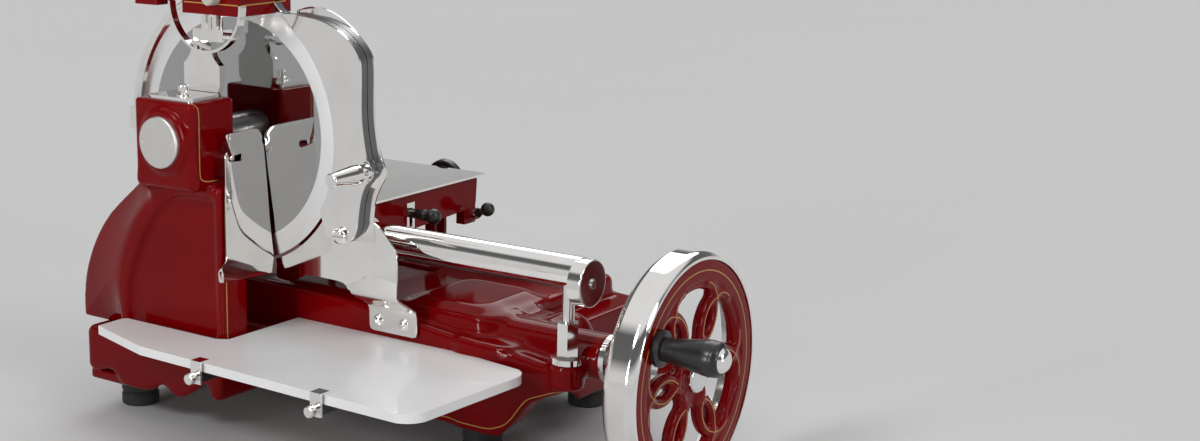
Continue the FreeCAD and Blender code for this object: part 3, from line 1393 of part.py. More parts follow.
def build():
    """Makes every piece."""
    base_casting()
    feet()
    column_casting()
    chain_case_cover()
    bearing_cap()
    column_lid()
    blade()
    guard_ring()
    sharpener_housing()
    sharpener_support()
    sharpening_stones()
    gauge_cover()
    gauge_sheet()
    lower_plate()
    deflector()
    tray()
    guide_tube()
    rear_rail()
    carriage()
    meat_table()
    carriage_levers()
    flywheel()
    shafts()
    chain_drive()
    crank_drive()
    connecting_rod()


def check_and_write():
    """Recomputes, checks every object and writes one file for each piece."""
    doc.recompute()
    faults = []
    for thing in doc.Objects:
        if "Invalid" in thing.State or "Error" in thing.State:
            faults.append(thing.Name + " " + thing.Label)
    for label, thing in NODES:
        shape = thing.Shape
        if shape.isNull() or not shape.isValid():
            faults.append("shape " + label)
    if faults:
        raise RuntimeError("faults: " + ", ".join(faults))
    os.makedirs("parts", exist_ok=True)
    for label, thing in NODES:
        thing.Shape.exportStep("parts/%s.step" % label)
    print("wrote", len(NODES))


build()
check_and_write()
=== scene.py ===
"""Looks of the hand crank meat slicer: finishes, castings, plates, turnings, gold lines and studio."""

import json
import logging
import math
from dataclasses import dataclass, field
from enum import Enum
from typing import Any, Callable, Iterable, Sequence

import bpy
import bmesh
import numpy as np
from mathutils import Matrix, Vector
from mathutils.bvhtree import BVHTree


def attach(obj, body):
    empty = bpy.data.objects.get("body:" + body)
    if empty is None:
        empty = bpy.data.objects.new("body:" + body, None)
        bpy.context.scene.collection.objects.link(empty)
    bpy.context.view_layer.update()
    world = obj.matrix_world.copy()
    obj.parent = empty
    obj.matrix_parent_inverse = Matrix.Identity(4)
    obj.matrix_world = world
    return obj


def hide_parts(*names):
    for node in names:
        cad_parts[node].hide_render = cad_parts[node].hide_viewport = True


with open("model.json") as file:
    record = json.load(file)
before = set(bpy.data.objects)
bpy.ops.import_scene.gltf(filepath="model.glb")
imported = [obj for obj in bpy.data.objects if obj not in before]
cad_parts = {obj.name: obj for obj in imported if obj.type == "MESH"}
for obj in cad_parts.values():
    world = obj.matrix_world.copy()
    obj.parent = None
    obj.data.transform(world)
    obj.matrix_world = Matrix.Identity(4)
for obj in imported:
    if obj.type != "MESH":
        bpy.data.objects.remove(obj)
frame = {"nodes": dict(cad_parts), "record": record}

LOG = logging.getLogger("slicer")
MM = 0.001
TINY = 1e-9
SHARP_ANGLE = 32
OFFSET = Vector((63.85, 63.75, 0.0))
BLADE_AT = (-150.0, 0.0, 337.0)
WHEEL_AT = (400.0, 78.0, 131.0)

Point = tuple[float, float]
Spot = tuple[float, float, float]


def polar(radius: float, degrees: float) -> Point:
    """Return a point of a circle about the origin."""
    return (radius * math.cos(math.radians(degrees)), radius * math.sin(math.radians(degrees)))


def metres(x: float, y: float, z: float) -> Vector:
    """Turn a drawing point in millimetres into the frame's metres."""
    return (Vector((x, y, z)) - OFFSET) * MM


# ---------------------------------------------------------------- shader maths


class Socket:
    """A node output that Python arithmetic can work on."""

    def __init__(self, tree: "Tree", link: Any) -> None:
        """Keep the tree and the wrapped output."""
        self.tree = tree
        self.link = link

    def _math(self, operation: str, first: Any, second: Any = None) -> "Socket":
        """Add one Math node.

        Args:
            operation: The Math node's operation.
            first: Its first value.
            second: Its second value.

        Returns:
            The node's result.
        """
        values = {0: first} if second is None else {0: first, 1: second}
        return self.tree.node("ShaderNodeMath", {"operation": operation}, values)

    def __add__(self, other: Any) -> "Socket":
        """Add."""
        return self._math("ADD", self, other)

    def __radd__(self, other: Any) -> "Socket":
        """Add, reflected."""
        return self._math("ADD", other, self)

    def __sub__(self, other: Any) -> "Socket":
        """Subtract."""
        return self._math("SUBTRACT", self, other)

    def __rsub__(self, other: Any) -> "Socket":
        """Subtract, reflected."""
        return self._math("SUBTRACT", other, self)

    def __mul__(self, other: Any) -> "Socket":
        """Multiply."""
        return self._math("MULTIPLY", self, other)

    def __rmul__(self, other: Any) -> "Socket":
        """Multiply, reflected."""
        return self._math("MULTIPLY", other, self)

    def __pow__(self, other: Any) -> "Socket":
        """Raise to a power."""
        return self._math("POWER", self, other)

    def sine(self) -> "Socket":
        """Return the sine."""
        return self._math("SINE", self)

    def step(self, low: float, high: float) -> "Socket":
        """Rise smoothly from 0 at low to 1 at high.

        Args:
            low: Where the rise starts.
            high: Where the rise ends.

        Returns:
            The value from 0 to 1.
        """
        settings = {"interpolation_type": "SMOOTHSTEP"}
        return self.tree.node("ShaderNodeMapRange", settings, {0: self, 1: low, 2: high, 3: 0.0, 4: 1.0})


class Tree:
    """One material's nodes."""

    def __init__(self, name: str) -> None:
        """Start an empty material.

        Args:
            name: Its name.
        """
        self.material = bpy.data.materials.new(name)
        self.material.use_nodes = True
        self.nodes = self.material.node_tree.nodes
        self.links = self.material.node_tree.links
        self.nodes.clear()

    def node(self, kind: str, settings: dict[str, Any] | None = None,
             values: dict[Any, Any] | None = None, output: Any = 0) -> Socket:
        """Add a node.

        Args:
            kind: The node's type.
            settings: Its own settings, set first; stops are a ramp's stops.
            values: Numbers, colours or links for its sockets, by name or place.
            output: The output that is returned.

        Returns:
            The chosen output.
        """
        made = self.nodes.new(kind)
        for name, setting in (settings or {}).items():
            if name == "stops":
                self.stops(made.color_ramp, setting)
            else:
                setattr(made, name, setting)
        for key, value in (values or {}).items():
            if isinstance(value, Socket):
                self.links.new(value.link, made.inputs[key])
            else:
                made.inputs[key].default_value = value
        return Socket(self, made.outputs[output])

    @staticmethod
    def stops(ramp: Any, stops: Sequence[tuple[float, tuple[float, ...]]]) -> None:
        """Set a ramp's stops.

        Args:
            ramp: The ramp.
            stops: Each stop's place and colour.
        """
        while len(ramp.elements) > 1:
            ramp.elements.remove(ramp.elements[0])
        ramp.elements[0].position = stops[0][0]
        ramp.elements[0].color = stops[0][1]
        for place, colour in stops[1:]:
            ramp.elements.new(place).color = colour

    def place(self) -> Socket:
        """Return the point on the object, in metres."""
        return self.node("ShaderNodeTexCoord", output="Object")

    def noise(self, scale: float, detail: float = 2.0, rough: float = 0.5,
              where: Socket | None = None) -> Socket:
        """Return a noise from 0 to 1.

        Args:
            scale: Waves in a metre.
            detail: Octaves.
            rough: How strong the finer octaves are.
            where: The point, or the object's own.

        Returns:
            The noise's value.
        """
        values = {"Vector": where or self.place(), "Scale": scale, "Detail": detail, "Roughness": rough}
        return self.node("ShaderNodeTexNoise", {}, values, "Fac")

    def blend(self, factor: Any, first: Any, second: Any) -> Socket:
        """Mix two colours.

        Args:
            factor: How much of the second, from 0 to 1.
            first: The colour at 0.
            second: The colour at 1.

        Returns:
            The mixed colour.
        """
        return self.node("ShaderNodeMix", {"data_type": "RGBA"}, {0: factor, 6: first, 7: second}, 2)

    def bump(self, height: Socket, strength: float, distance: float) -> Socket:
        """Turn a height into a normal.

        Args:
            height: The height, from 0 to 1.
            strength: How strong the bump is.
            distance: The height of 1, in metres.

        Returns:
            The normal.
        """
        return self.node("ShaderNodeBump", {}, {"Strength": strength, "Distance": distance, "Height": height})

    def surface(self, **values: Any) -> bpy.types.Material:
        """Finish with one Principled shader.

        Args:
            **values: Its sockets, with _ for a space.

        Returns:
            The material.
        """
        named = {name.replace("_", " "): value for name, value in values.items()}
        shader = self.node("ShaderNodeBsdfPrincipled", {}, named)
        out = self.nodes.new("ShaderNodeOutputMaterial")
        self.links.new(shader.link, out.inputs["Surface"])
        return self.material


# ---------------------------------------------------------------- finishes


def rgba(red: float, green: float, blue: float) -> tuple[float, float, float, float]:
    """Return an opaque colour."""
    return (red, green, blue, 1.0)


@dataclass(frozen=True)
class Enamel:
    """Glossy baked enamel with a faint flow in its surface."""

    name: str
    colour: Spot
    deep: Spot
    roughness: float = 0.06
    coat: float = 0.05
    gloss: float = 0.12

    def make(self) -> bpy.types.Material:
        """Return the enamel's material."""
        tree = Tree(self.name)
        cloud = tree.noise(9.0, 3.0)
        flow = tree.noise(55.0, 2.0, 0.45)
        dust = tree.noise(900.0, 1.0)
        colour = tree.blend(cloud.step(0.3, 0.75), rgba(*self.deep), rgba(*self.colour))
        rough = cloud * 0.05 + dust * 0.03 + self.roughness
        normal = tree.bump(flow * 0.9 + dust * 0.1, 0.12, 0.0006)
        return tree.surface(Base_Color=colour, Roughness=rough, Normal=normal, Coat_Weight=self.coat,
                            Coat_Roughness=0.03, Specular_IOR_Level=self.gloss)


@dataclass(frozen=True)
class Polish:
    """Mirror polished metal with very fine wiping marks."""

    name: str
    colour: Spot
    roughness: float = 0.05
    streak: float = 0.02

    def make(self) -> bpy.types.Material:
        """Return the polished metal's material."""
        tree = Tree(self.name)
        haze = tree.noise(26.0, 3.0)
        grain = tree.noise(1400.0, 1.0)
        tint = tree.blend(haze.step(0.35, 0.8), rgba(*self.colour),
                          rgba(*(value * 0.93 for value in self.colour)))
        rough = haze * self.streak + grain * 0.01 + self.roughness
        normal = tree.bump(haze, 0.03, 0.0004)
        return tree.surface(Base_Color=tint, Metallic=1.0, Roughness=rough, Normal=normal)


@dataclass(frozen=True)
class Turned:
    """Metal turned on a lathe, with rings round one axis; the centre is in drawing millimetres."""

    name: str
    colour: Spot
    centre: Spot
    axis: int
    pitch: float = 0.0004
    depth: float = 0.00003
    roughness: float = 0.16

    def radius(self, tree: Tree) -> Socket:
        """Return the distance from the axis.

        Args:
            tree: The material's nodes.

        Returns:
            The distance in metres.
        """
        parts = tree.node("ShaderNodeSeparateXYZ", {}, {0: tree.place()}).link.node
        centre = metres(*self.centre)
        sides = [Socket(tree, parts.outputs[number]) - centre[number]
                 for number in range(3) if number != self.axis]
        return (sides[0] * sides[0] + sides[1] * sides[1]) ** 0.5

    def rings(self, radius: Socket) -> Socket:
        """Return the tool's rings, from 0 to 1."""
        return (radius * (2 * math.pi / self.pitch)).sine() * 0.5 + 0.5

    def make(self) -> bpy.types.Material:
        """Return the turned metal's material."""
        tree = Tree(self.name)
        radius = self.radius(tree)
        rings = self.rings(radius)
        wobble = tree.noise(180.0, 2.0)
        height = rings * 0.7 + wobble * 0.3
        haze = tree.noise(30.0, 2.0)
        rough = haze * 0.08 + self.roughness
        tint = tree.blend(haze, rgba(*self.colour), rgba(*(value * 0.86 for value in self.colour)))
        return tree.surface(Base_Color=tint, Metallic=1.0, Roughness=rough,
                            Normal=tree.bump(height, 0.3, self.depth))


@dataclass(frozen=True)
class Moulded:
    """Moulded plastic or rubber with a fine grain."""

    name: str
    colour: Spot
    roughness: float
    grain: float = 1500.0
    depth: float = 0.00005
    coat: float = 0.0

    def make(self) -> bpy.types.Material:
        """Return the moulded material."""
        tree = Tree(self.name)
        fine = tree.noise(self.grain, 2.0, 0.6)
        worn = tree.noise(40.0, 3.0)
        colour = tree.blend(worn.step(0.4, 0.8), rgba(*self.colour),
                            rgba(*(value * 1.5 + 0.004 for value in self.colour)))
        rough = worn * 0.12 + self.roughness
        return tree.surface(Base_Color=colour, Roughness=rough, Coat_Weight=self.coat,
                            Coat_Roughness=0.1, Normal=tree.bump(fine, 0.25, self.depth))


@dataclass(frozen=True)
class BladeSteel(Turned):
    """Mirror steel with a finely ground ring along the edge; the face inside the ring is painted darker, a
    painted reflection.
    """

    edge: float = 0.1259

    def make(self) -> bpy.types.Material:
        """Return the blade's material."""
        tree = Tree(self.name)
        radius = self.radius(tree)
        ring = radius.step(self.edge - 0.0002, self.edge + 0.0002)
        rings = self.rings(radius)
        haze = tree.noise(24.0, 3.0)
        # Painted light: inside the ground ring the steel gets half the ring's colour, a painted darker
        # reflection against the bright ground edge
        tint = tree.blend(ring, rgba(*(value * 0.5 for value in self.colour)), rgba(*self.colour))
        rough = haze * 0.02 + ring * 0.22 + self.roughness
        return tree.surface(Base_Color=tint, Metallic=1.0, Roughness=rough,
                            Normal=tree.bump(rings * ring + haze * 0.2, 0.25, self.depth))


class Stock(Enum):
    """The finishes that the slicer is made in."""

    RED = "red_enamel"
    WHITE = "white_enamel"
    POLISH = "polished_plate"
    BLADE = "blade_steel"
    STEEL = "machined_steel"
    IRON = "gear_iron"
    BRONZE = "bronze"
    BLACK = "black_plastic"
    RUBBER = "rubber"
    STONE = "stone"
    GOLD = "gold_line"


Finish = Enamel | Polish | Turned | Moulded

RECIPES: dict[Stock, Finish] = {
    Stock.RED: Enamel("red enamel", (0.195, 0.0006, 0.002), (0.15, 0.0003, 0.0012)),
    Stock.WHITE: Enamel("white enamel", (0.83, 0.83, 0.83), (0.80, 0.80, 0.80), 0.25, 0.4, 0.5),
    Stock.POLISH: Polish("polished plate", (0.95, 0.935, 0.91)),
    Stock.BLADE: BladeSteel("blade steel", (0.97, 0.97, 0.97), BLADE_AT, 1, roughness=0.035),
    Stock.STEEL: Polish("machined steel", (0.5, 0.5, 0.5), 0.25, 0.1),
    Stock.IRON: Polish("gear iron", (0.2, 0.2, 0.21), 0.35, 0.15),
    Stock.BRONZE: Polish("bronze", (0.6, 0.42, 0.2), 0.22, 0.1),
    Stock.BLACK: Moulded("black plastic", (0.012, 0.012, 0.012), 0.28, coat=0.2),
    Stock.RUBBER: Moulded("rubber", (0.018, 0.018, 0.018), 0.62, 700.0, 0.0001),
    Stock.STONE: Moulded("stone", (0.42, 0.4, 0.36), 0.85, 900.0, 0.0003),
    Stock.GOLD: Enamel("gold line", (0.50, 0.30, 0.08), (0.44, 0.26, 0.06), 0.3, 0.4),
}

OWN: dict[str, Finish] = {
    "bearing_cap": Turned("turned cap", (0.80, 0.78, 0.74), (-155, -114, 337), 1, 0.0022, 0.0001, 0.3),
    "hub_cap": Turned("turned hub cap", (0.86, 0.86, 0.86), WHEEL_AT, 0, 0.001, 0.00003, 0.08),
    "tube_end_collar": Turned("turned collar", (0.93, 0.92, 0.90), (288, 40, 219), 0, 0.0015, 0.00002, 0.06),
}


@dataclass
class Paintshop:
    """Makes each finish once and hands it out."""

    made: dict[Stock, bpy.types.Material] = field(default_factory=dict)

    def get(self, stock: Stock) -> bpy.types.Material:
        """Return a finish, making it the first time.

        Args:
            stock: Which finish.

        Returns:
            Its material.
        """
        if stock not in self.made:
            self.made[stock] = RECIPES[stock].make()
        return self.made[stock]


SHOP = Paintshop()


def dress(thing: bpy.types.Object, material: bpy.types.Material) -> None:
    """Put one material on all of an object's slots.

    Args:
        thing: The object.
        material: The material.
    """
    if not thing.material_slots:
        thing.data.materials.append(material)
    for slot in thing.material_slots:
        slot.material = material


def dress_frame() -> None:
    """Give every node of the frame its finish by the record's slots."""
    slots = {part["node"]: part["material_slot"] for part in frame["record"]["subparts"]}
    for name, thing in frame["nodes"].items():
        dress(thing, OWN[name].make() if name in OWN else SHOP.get(Stock(slots[name])))
    LOG.info("frame dressed: %d nodes", len(frame["nodes"]))


# ---------------------------------------------------------------- meshes


def show(name: str, data: bpy.types.Mesh, body: str, stock: Stock, node: str = "") -> bpy.types.Object:
    """Put a finished mesh in the scene on its body.

    Args:
        name: The piece's name.
        data: Its mesh, in the frame's metres.
        body: The body that it rides on.
        stock: Its finish, which is also its slot; a gold line shares the slot of the red casting under it.
        node: The node that it stands for, if any.

    Returns:
        The new object.
    """
    thing = bpy.data.objects.new(name, data)
    bpy.context.collection.objects.link(thing)
    dress(thing, SHOP.get(stock))
    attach(thing, body)
    if node:
        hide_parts(node)
    LOG.info("%s: %d faces", name, len(data.polygons))
    return thing


def lighten(thing: bpy.types.Object, keep: float) -> None:
    """Merge the small faces of a piece's flat stretches.

    Args:
        thing: The piece.
        keep: The share of its faces to keep.
    """
    modifier = thing.modifiers.new("lighten", "DECIMATE")
    modifier.ratio = keep
    graph = bpy.context.evaluated_depsgraph_get()
    data = bpy.data.meshes.new_from_object(thing.evaluated_get(graph))
    thing.modifiers.clear()
    thing.data = data
    LOG.info("%s: %d faces kept", thing.name, len(data.polygons))


def thread(across: np.ndarray, along: np.ndarray, points: Sequence[Point]) -> np.ndarray:
    """Return the flat distance from an open line.

    Args:
        across: The grid's first flat coordinate.
        along: Its second one.
        points: The line's corners.

    Returns:
        The distance on the grid.
    """
    nearest = 1e9
    for (x0, z0), (x1, z1) in zip(points, points[1:]):
        run, climb = x1 - x0, z1 - z0
        share = ((across - x0) * run + (along - z0) * climb) / max(run * run + climb * climb, TINY)
        share = np.clip(share, 0.0, 1.0)
        nearest = np.minimum(nearest, np.hypot(across - x0 - share * run, along - z0 - share * climb))
    return nearest


class Field:
    """Distances on a grid in drawing millimetres, negative inside, that a casting's skin is drawn from."""

    def __init__(self, low: Spot, high: Spot, pitch: float) -> None:
        """Lay the grid.

        Args:
            low: Its lower corner.
            high: Its upper corner.
            pitch: The distance between its points.
        """
        self.low = np.array(low, dtype=float)
        self.pitch = pitch
        lines = [np.arange(start, stop + pitch, pitch) for start, stop in zip(low, high)]
        self.x, self.y, self.z = np.meshgrid(*lines, indexing="ij", sparse=True)

    def slab(self, axis: str, start: float, stop: float) -> np.ndarray:
        """Return the distance from the space between two planes."""
        return np.abs(getattr(self, axis) - (start + stop) / 2) - (stop - start) / 2

    def between(self, solid: np.ndarray, axis: str, start: float, stop: float, edge: float) -> np.ndarray:
        """Return a solid cut off at two planes, with round edges."""
        return self.trim(solid, -self.slab(axis, start, stop), edge)

    def box(self, low: Spot, high: Spot, edge: float = 0.0) -> np.ndarray:
        """Return the distance from a block.

        Args:
            low: Its lower corner.
            high: Its upper corner.
            edge: The radius of its edges.

        Returns:
            The distance on the grid.
        """
        away = [self.slab(axis, start, stop) + edge for axis, start, stop in zip("xyz", low, high)]
        outside = np.sqrt(sum(np.maximum(part, 0.0) ** 2 for part in away))
        return outside + np.minimum(np.maximum(np.maximum(away[0], away[1]), away[2]), 0.0) - edge

    def prism(self, low: Point, high: Point, edge: float) -> np.ndarray:
        """Return the distance from an upright block without ends.

        Args:
            low: Its lower corner in plan.
            high: Its upper corner in plan.
            edge: The radius of its upright edges.

        Returns:
            The distance on the grid.
        """
        across = self.slab("x", low[0], high[0]) + edge
        along = self.slab("y", low[1], high[1]) + edge
        outside = np.hypot(np.maximum(across, 0.0), np.maximum(along, 0.0))
        return outside + np.minimum(np.maximum(across, along), 0.0) - edge

    def rod(self, axis: str, centre: Point, radius: float, start: float, stop: float,
            edge: float = 0.01) -> np.ndarray:
        """Return the distance from a round bar along an axis.

        Args:
            axis: The axis.
            centre: Where it stands on the other two axes.
            radius: Its radius.
            start: Its first end.
            stop: Its second end.
            edge: The radius of its ends' edges.

        Returns:
            The distance on the grid.
        """
        first, second = [name for name in "xyz" if name != axis]
        away = np.hypot(getattr(self, first) - centre[0], getattr(self, second) - centre[1]) - radius
        return self.between(away, axis, start, stop, edge)

    def outline(self, points: Sequence[Point]) -> np.ndarray:
        """Return the flat distance from a closed outline.

        Args:
            points: The outline's corners, in x and z.

        Returns:
            The distance on the grid.
        """
        loop = [*points, points[0]]
        inside = False
        for (x0, z0), (x1, z1) in zip(loop, loop[1:]):
            if z0 != z1:
                level = (z0 > self.z) != (z1 > self.z)
                inside = inside ^ (level & (self.x < (x1 - x0) * (self.z - z0) / (z1 - z0) + x0))
        nearest = thread(self.x, self.z, loop)
        return np.where(inside, -nearest, nearest)

    @staticmethod
    def join(first: np.ndarray, second: np.ndarray, blend: Any) -> np.ndarray:
        """Return the union of two solids with a fillet between them, as wide as the blend."""
        near = np.maximum(blend - np.abs(first - second), 0.0) / blend
        return np.minimum(first, second) - near * near * blend / 4

    @classmethod
    def trim(cls, first: np.ndarray, tool: np.ndarray, blend: Any) -> np.ndarray:
        """Return a solid less another, with a round edge."""
        return -cls.join(-first, tool, blend)

    def cast(self, name: str, solid: np.ndarray, body: str = "frame", stock: Stock = Stock.RED,
             node: str = "", relax: int = 2) -> bpy.types.Object:
        """Show a solid as a piece.

        Args:
            name: The piece's name.
            solid: The distances.
            body: The body that it rides on.
            stock: Its finish.
            node: The node that it stands for, if any.
            relax: How many times its skin is evened out.

        Returns:
            The new object.
        """
        return show(name, self.skin(solid, name, relax), body, stock, node)

    def skin(self, values: np.ndarray, name: str, relax: int = 2) -> bpy.types.Mesh:
        """Draw the smooth skin where the distance is zero.

        Args:
            values: The distances.
            name: The mesh's name.
            relax: How many times the skin is evened out.

        Returns:
            The mesh, in the frame's metres.
        """
        shape = values.shape
        inside = values < 0
        total = np.zeros(tuple(count - 1 for count in shape) + (3,))
        hits = np.zeros(tuple(count - 1 for count in shape))
        quads = []
        for axis in range(3):
            others = [number for number in range(3) if number != axis]
            here = [slice(None)] * 3
            there = [slice(None)] * 3
            here[axis], there[axis] = slice(0, -1), slice(1, None)
            first, second = values[tuple(here)], values[tuple(there)]
            change = inside[tuple(here)] != inside[tuple(there)]
            share = np.where(change, first / np.where(change, first - second, 1.0), 0.0)
            for one in (0, 1):
                for two in (0, 1):
                    window = [slice(None)] * 3
                    window[others[0]] = slice(one, shape[others[0]] - 1 + one)
                    window[others[1]] = slice(two, shape[others[1]] - 1 + two)
                    mask = change[tuple(window)]
                    hits += mask
                    total[..., axis] += share[tuple(window)] * mask
                    total[..., others[0]] += one * mask
                    total[..., others[1]] += two * mask
            inner = [slice(1, -1)] * 3
            inner[axis] = slice(None)
            spots = np.argwhere(change[tuple(inner)])
            starts = inside[tuple(here)][tuple(inner)][tuple(spots.T)]
            corners = []
            for one, two in ((0, 0), (1, 0), (1, 1), (0, 1)):
                shift = [0, 0, 0]
                shift[others[0]], shift[others[1]] = one, two
                corners.append(spots + shift)
            quads.append((corners, starts, axis))
        cells = hits > 0
        index = np.full(hits.shape, -1)
        index[cells] = np.arange(int(cells.sum()))
        corner = np.argwhere(cells) + total[cells] / hits[cells][:, None]
        points = (self.low + corner * self.pitch - np.array(OFFSET)) * MM
        faces = []
        for corners, starts, axis in quads:
            loop = np.stack([index[tuple(corner.T)] for corner in corners], axis=1)
            turned = starts if axis != 1 else ~starts
            loop[~turned] = loop[~turned][:, ::-1]
            faces.append(loop)
        faces = np.concatenate(faces)
        data = bpy.data.meshes.new(name)
        data.from_pydata(points.tolist(), [], faces.tolist())
        if relax:
            mesh = bmesh.new()
            mesh.from_mesh(data)
            for _ in range(relax):
                bmesh.ops.smooth_vert(mesh, verts=mesh.verts, factor=0.5, use_axis_x=True,
                                      use_axis_y=True, use_axis_z=True)
            mesh.to_mesh(data)
            mesh.free()
        data.shade_smooth()
        return data



def smooth_path(points: Sequence[Spot], closed: bool, spacing: float = 2.0) -> list[Vector]:
    """Run a rounded line through points.

    Args:
        points: Points in drawing millimetres.
        closed: True for a loop.
        spacing: Distance between the samples.

    Returns:
        The samples, in drawing millimetres.
    """
    knots = [Vector(point) for point in points]
    count = len(knots)
    result: list[Vector] = []
    for number in range(count if closed else count - 1):
        if closed:
            four = [knots[(number + shift) % count] for shift in (-1, 0, 1, 2)]
        else:
            four = [knots[min(max(number + shift, 0), count - 1)] for shift in (-1, 0, 1, 2)]
        steps = max(1, int((four[2] - four[1]).length / spacing))
        for step in range(steps):
            u = step / steps
            result.append(0.5 * (2 * four[1] + (four[2] - four[0]) * u
                                 + (2 * four[0] - 5 * four[1] + 4 * four[2] - four[3]) * u * u
                                 + (3 * four[1] - 3 * four[2] + four[3] - four[0]) * u ** 3))
    if not closed:
        result.append(knots[-1])
    return result


def curve(points: Sequence[Point], spacing: float = 4.0) -> list[Point]:
    """Return a rounded flat line through points."""
    return [(spot.x, spot.y) for spot in smooth_path([(x, y, 0.0) for x, y in points], False, spacing)]


def finish_piece(mesh: bmesh.types.BMesh, piece: "Plate | Turning") -> bpy.types.Object:
    """Turn worked geometry into a finished piece.

    Args:
        mesh: The geometry, which is used up.
        piece: What it is to be.

    Returns:
        The new object.
    """
    bmesh.ops.recalc_face_normals(mesh, faces=mesh.faces)
    data = bpy.data.meshes.new(piece.name)
    mesh.to_mesh(data)
    mesh.free()
    data.shade_smooth()
    data.set_sharp_from_angle(angle=math.radians(SHARP_ANGLE))
    return show(piece.name, data, piece.body, piece.stock, piece.node)


@dataclass
class Plate:
    """Sheet or plate cut to an outline, its edges eased, then bent or turned into place."""

    name: str
    body: str
    node: str
    points: Sequence[Point]
    thick: float
    place: Callable[[float, float, float], Spot]
    ease: float = 0.35
    cuts: float = 0.0
    stock: Stock = Stock.POLISH

    def cross_cut(self, mesh: bmesh.types.BMesh) -> None:
        """Cut the flat sheet in squares, so that it can bend.

        Args:
            mesh: The sheet.
        """
        for number in (0, 1):
            values = [point[number] for point in self.points]
            spot = min(values) + self.cuts
            while spot < max(values):
                flat, way = [0.0, 0.0, 0.0], [0.0, 0.0, 0.0]
                flat[number], way[number] = spot, 1.0
                everything = mesh.verts[:] + mesh.edges[:] + mesh.faces[:]
                bmesh.ops.bisect_plane(mesh, geom=everything, plane_co=flat, plane_no=way)
                spot += self.cuts

    def build(self) -> bpy.types.Object:
        """Cut, ease and place the plate."""
        mesh = bmesh.new()
        rings = [[mesh.verts.new((across, along, height)) for across, along in self.points]
                 for height in (0.0, self.thick)]
        mesh.faces.new(rings[0][::-1])
        mesh.faces.new(rings[1])
        count = len(self.points)
        for number in range(count):
            after = (number + 1) % count
            mesh.faces.new((rings[0][number], rings[0][after], rings[1][after], rings[1][number]))
        rims = [edge for edge in mesh.edges if abs(edge.verts[0].co.z - edge.verts[1].co.z) < TINY]
        bmesh.ops.bevel(mesh, geom=rims, offset=self.ease, segments=2, profile=0.5, affect="EDGES")
        if self.cuts:
            self.cross_cut(mesh)
        for vertex in mesh.verts:
            vertex.co = metres(*self.place(*vertex.co))
        return finish_piece(mesh, self)


@dataclass
class Turning:
    """A piece turned on a lathe: radius and height along an axis."""

    name: str
    body: str
    node: str
    profile: Sequence[Point]
    at: Spot
    axis: Spot = (0.0, 1.0, 0.0)
    segments: int = 96
    stock: Stock = Stock.POLISH

    def spot(self, radius: float, angle: float, height: float) -> Vector:
        """Return a point of the piece.

        Args:
            radius: Its distance from the axis.
            angle: Its angle about the axis.
            height: Its height along the axis.

        Returns:
            The point, in the frame's metres.
        """
        turned = Vector((radius * math.cos(angle), radius * math.sin(angle), height))
        turned.rotate(Vector(self.axis).to_track_quat("Z", "Y"))
        return metres(*(Vector(self.at) + turned))

    def build(self) -> bpy.types.Object:
        """Turn the piece."""
        mesh = bmesh.new()
        rows = []
        for radius, height in self.profile:
            if radius < TINY:
                rows.append([mesh.verts.new(self.spot(0.0, 0.0, height))] * self.segments)
            else:
                rows.append([mesh.verts.new(self.spot(radius, 2 * math.pi * number / self.segments, height))
                             for number in range(self.segments)])
        loop = self.profile[0][0] > TINY
        for first, second in zip(rows, rows[1:] + (rows[:1] if loop else [])):
            for number in range(self.segments):
                after = (number + 1) % self.segments
                corners = list(dict.fromkeys((first[number], first[after], second[after], second[number])))
                if len(corners) > 2:
                    mesh.faces.new(corners)
        return finish_piece(mesh, self)


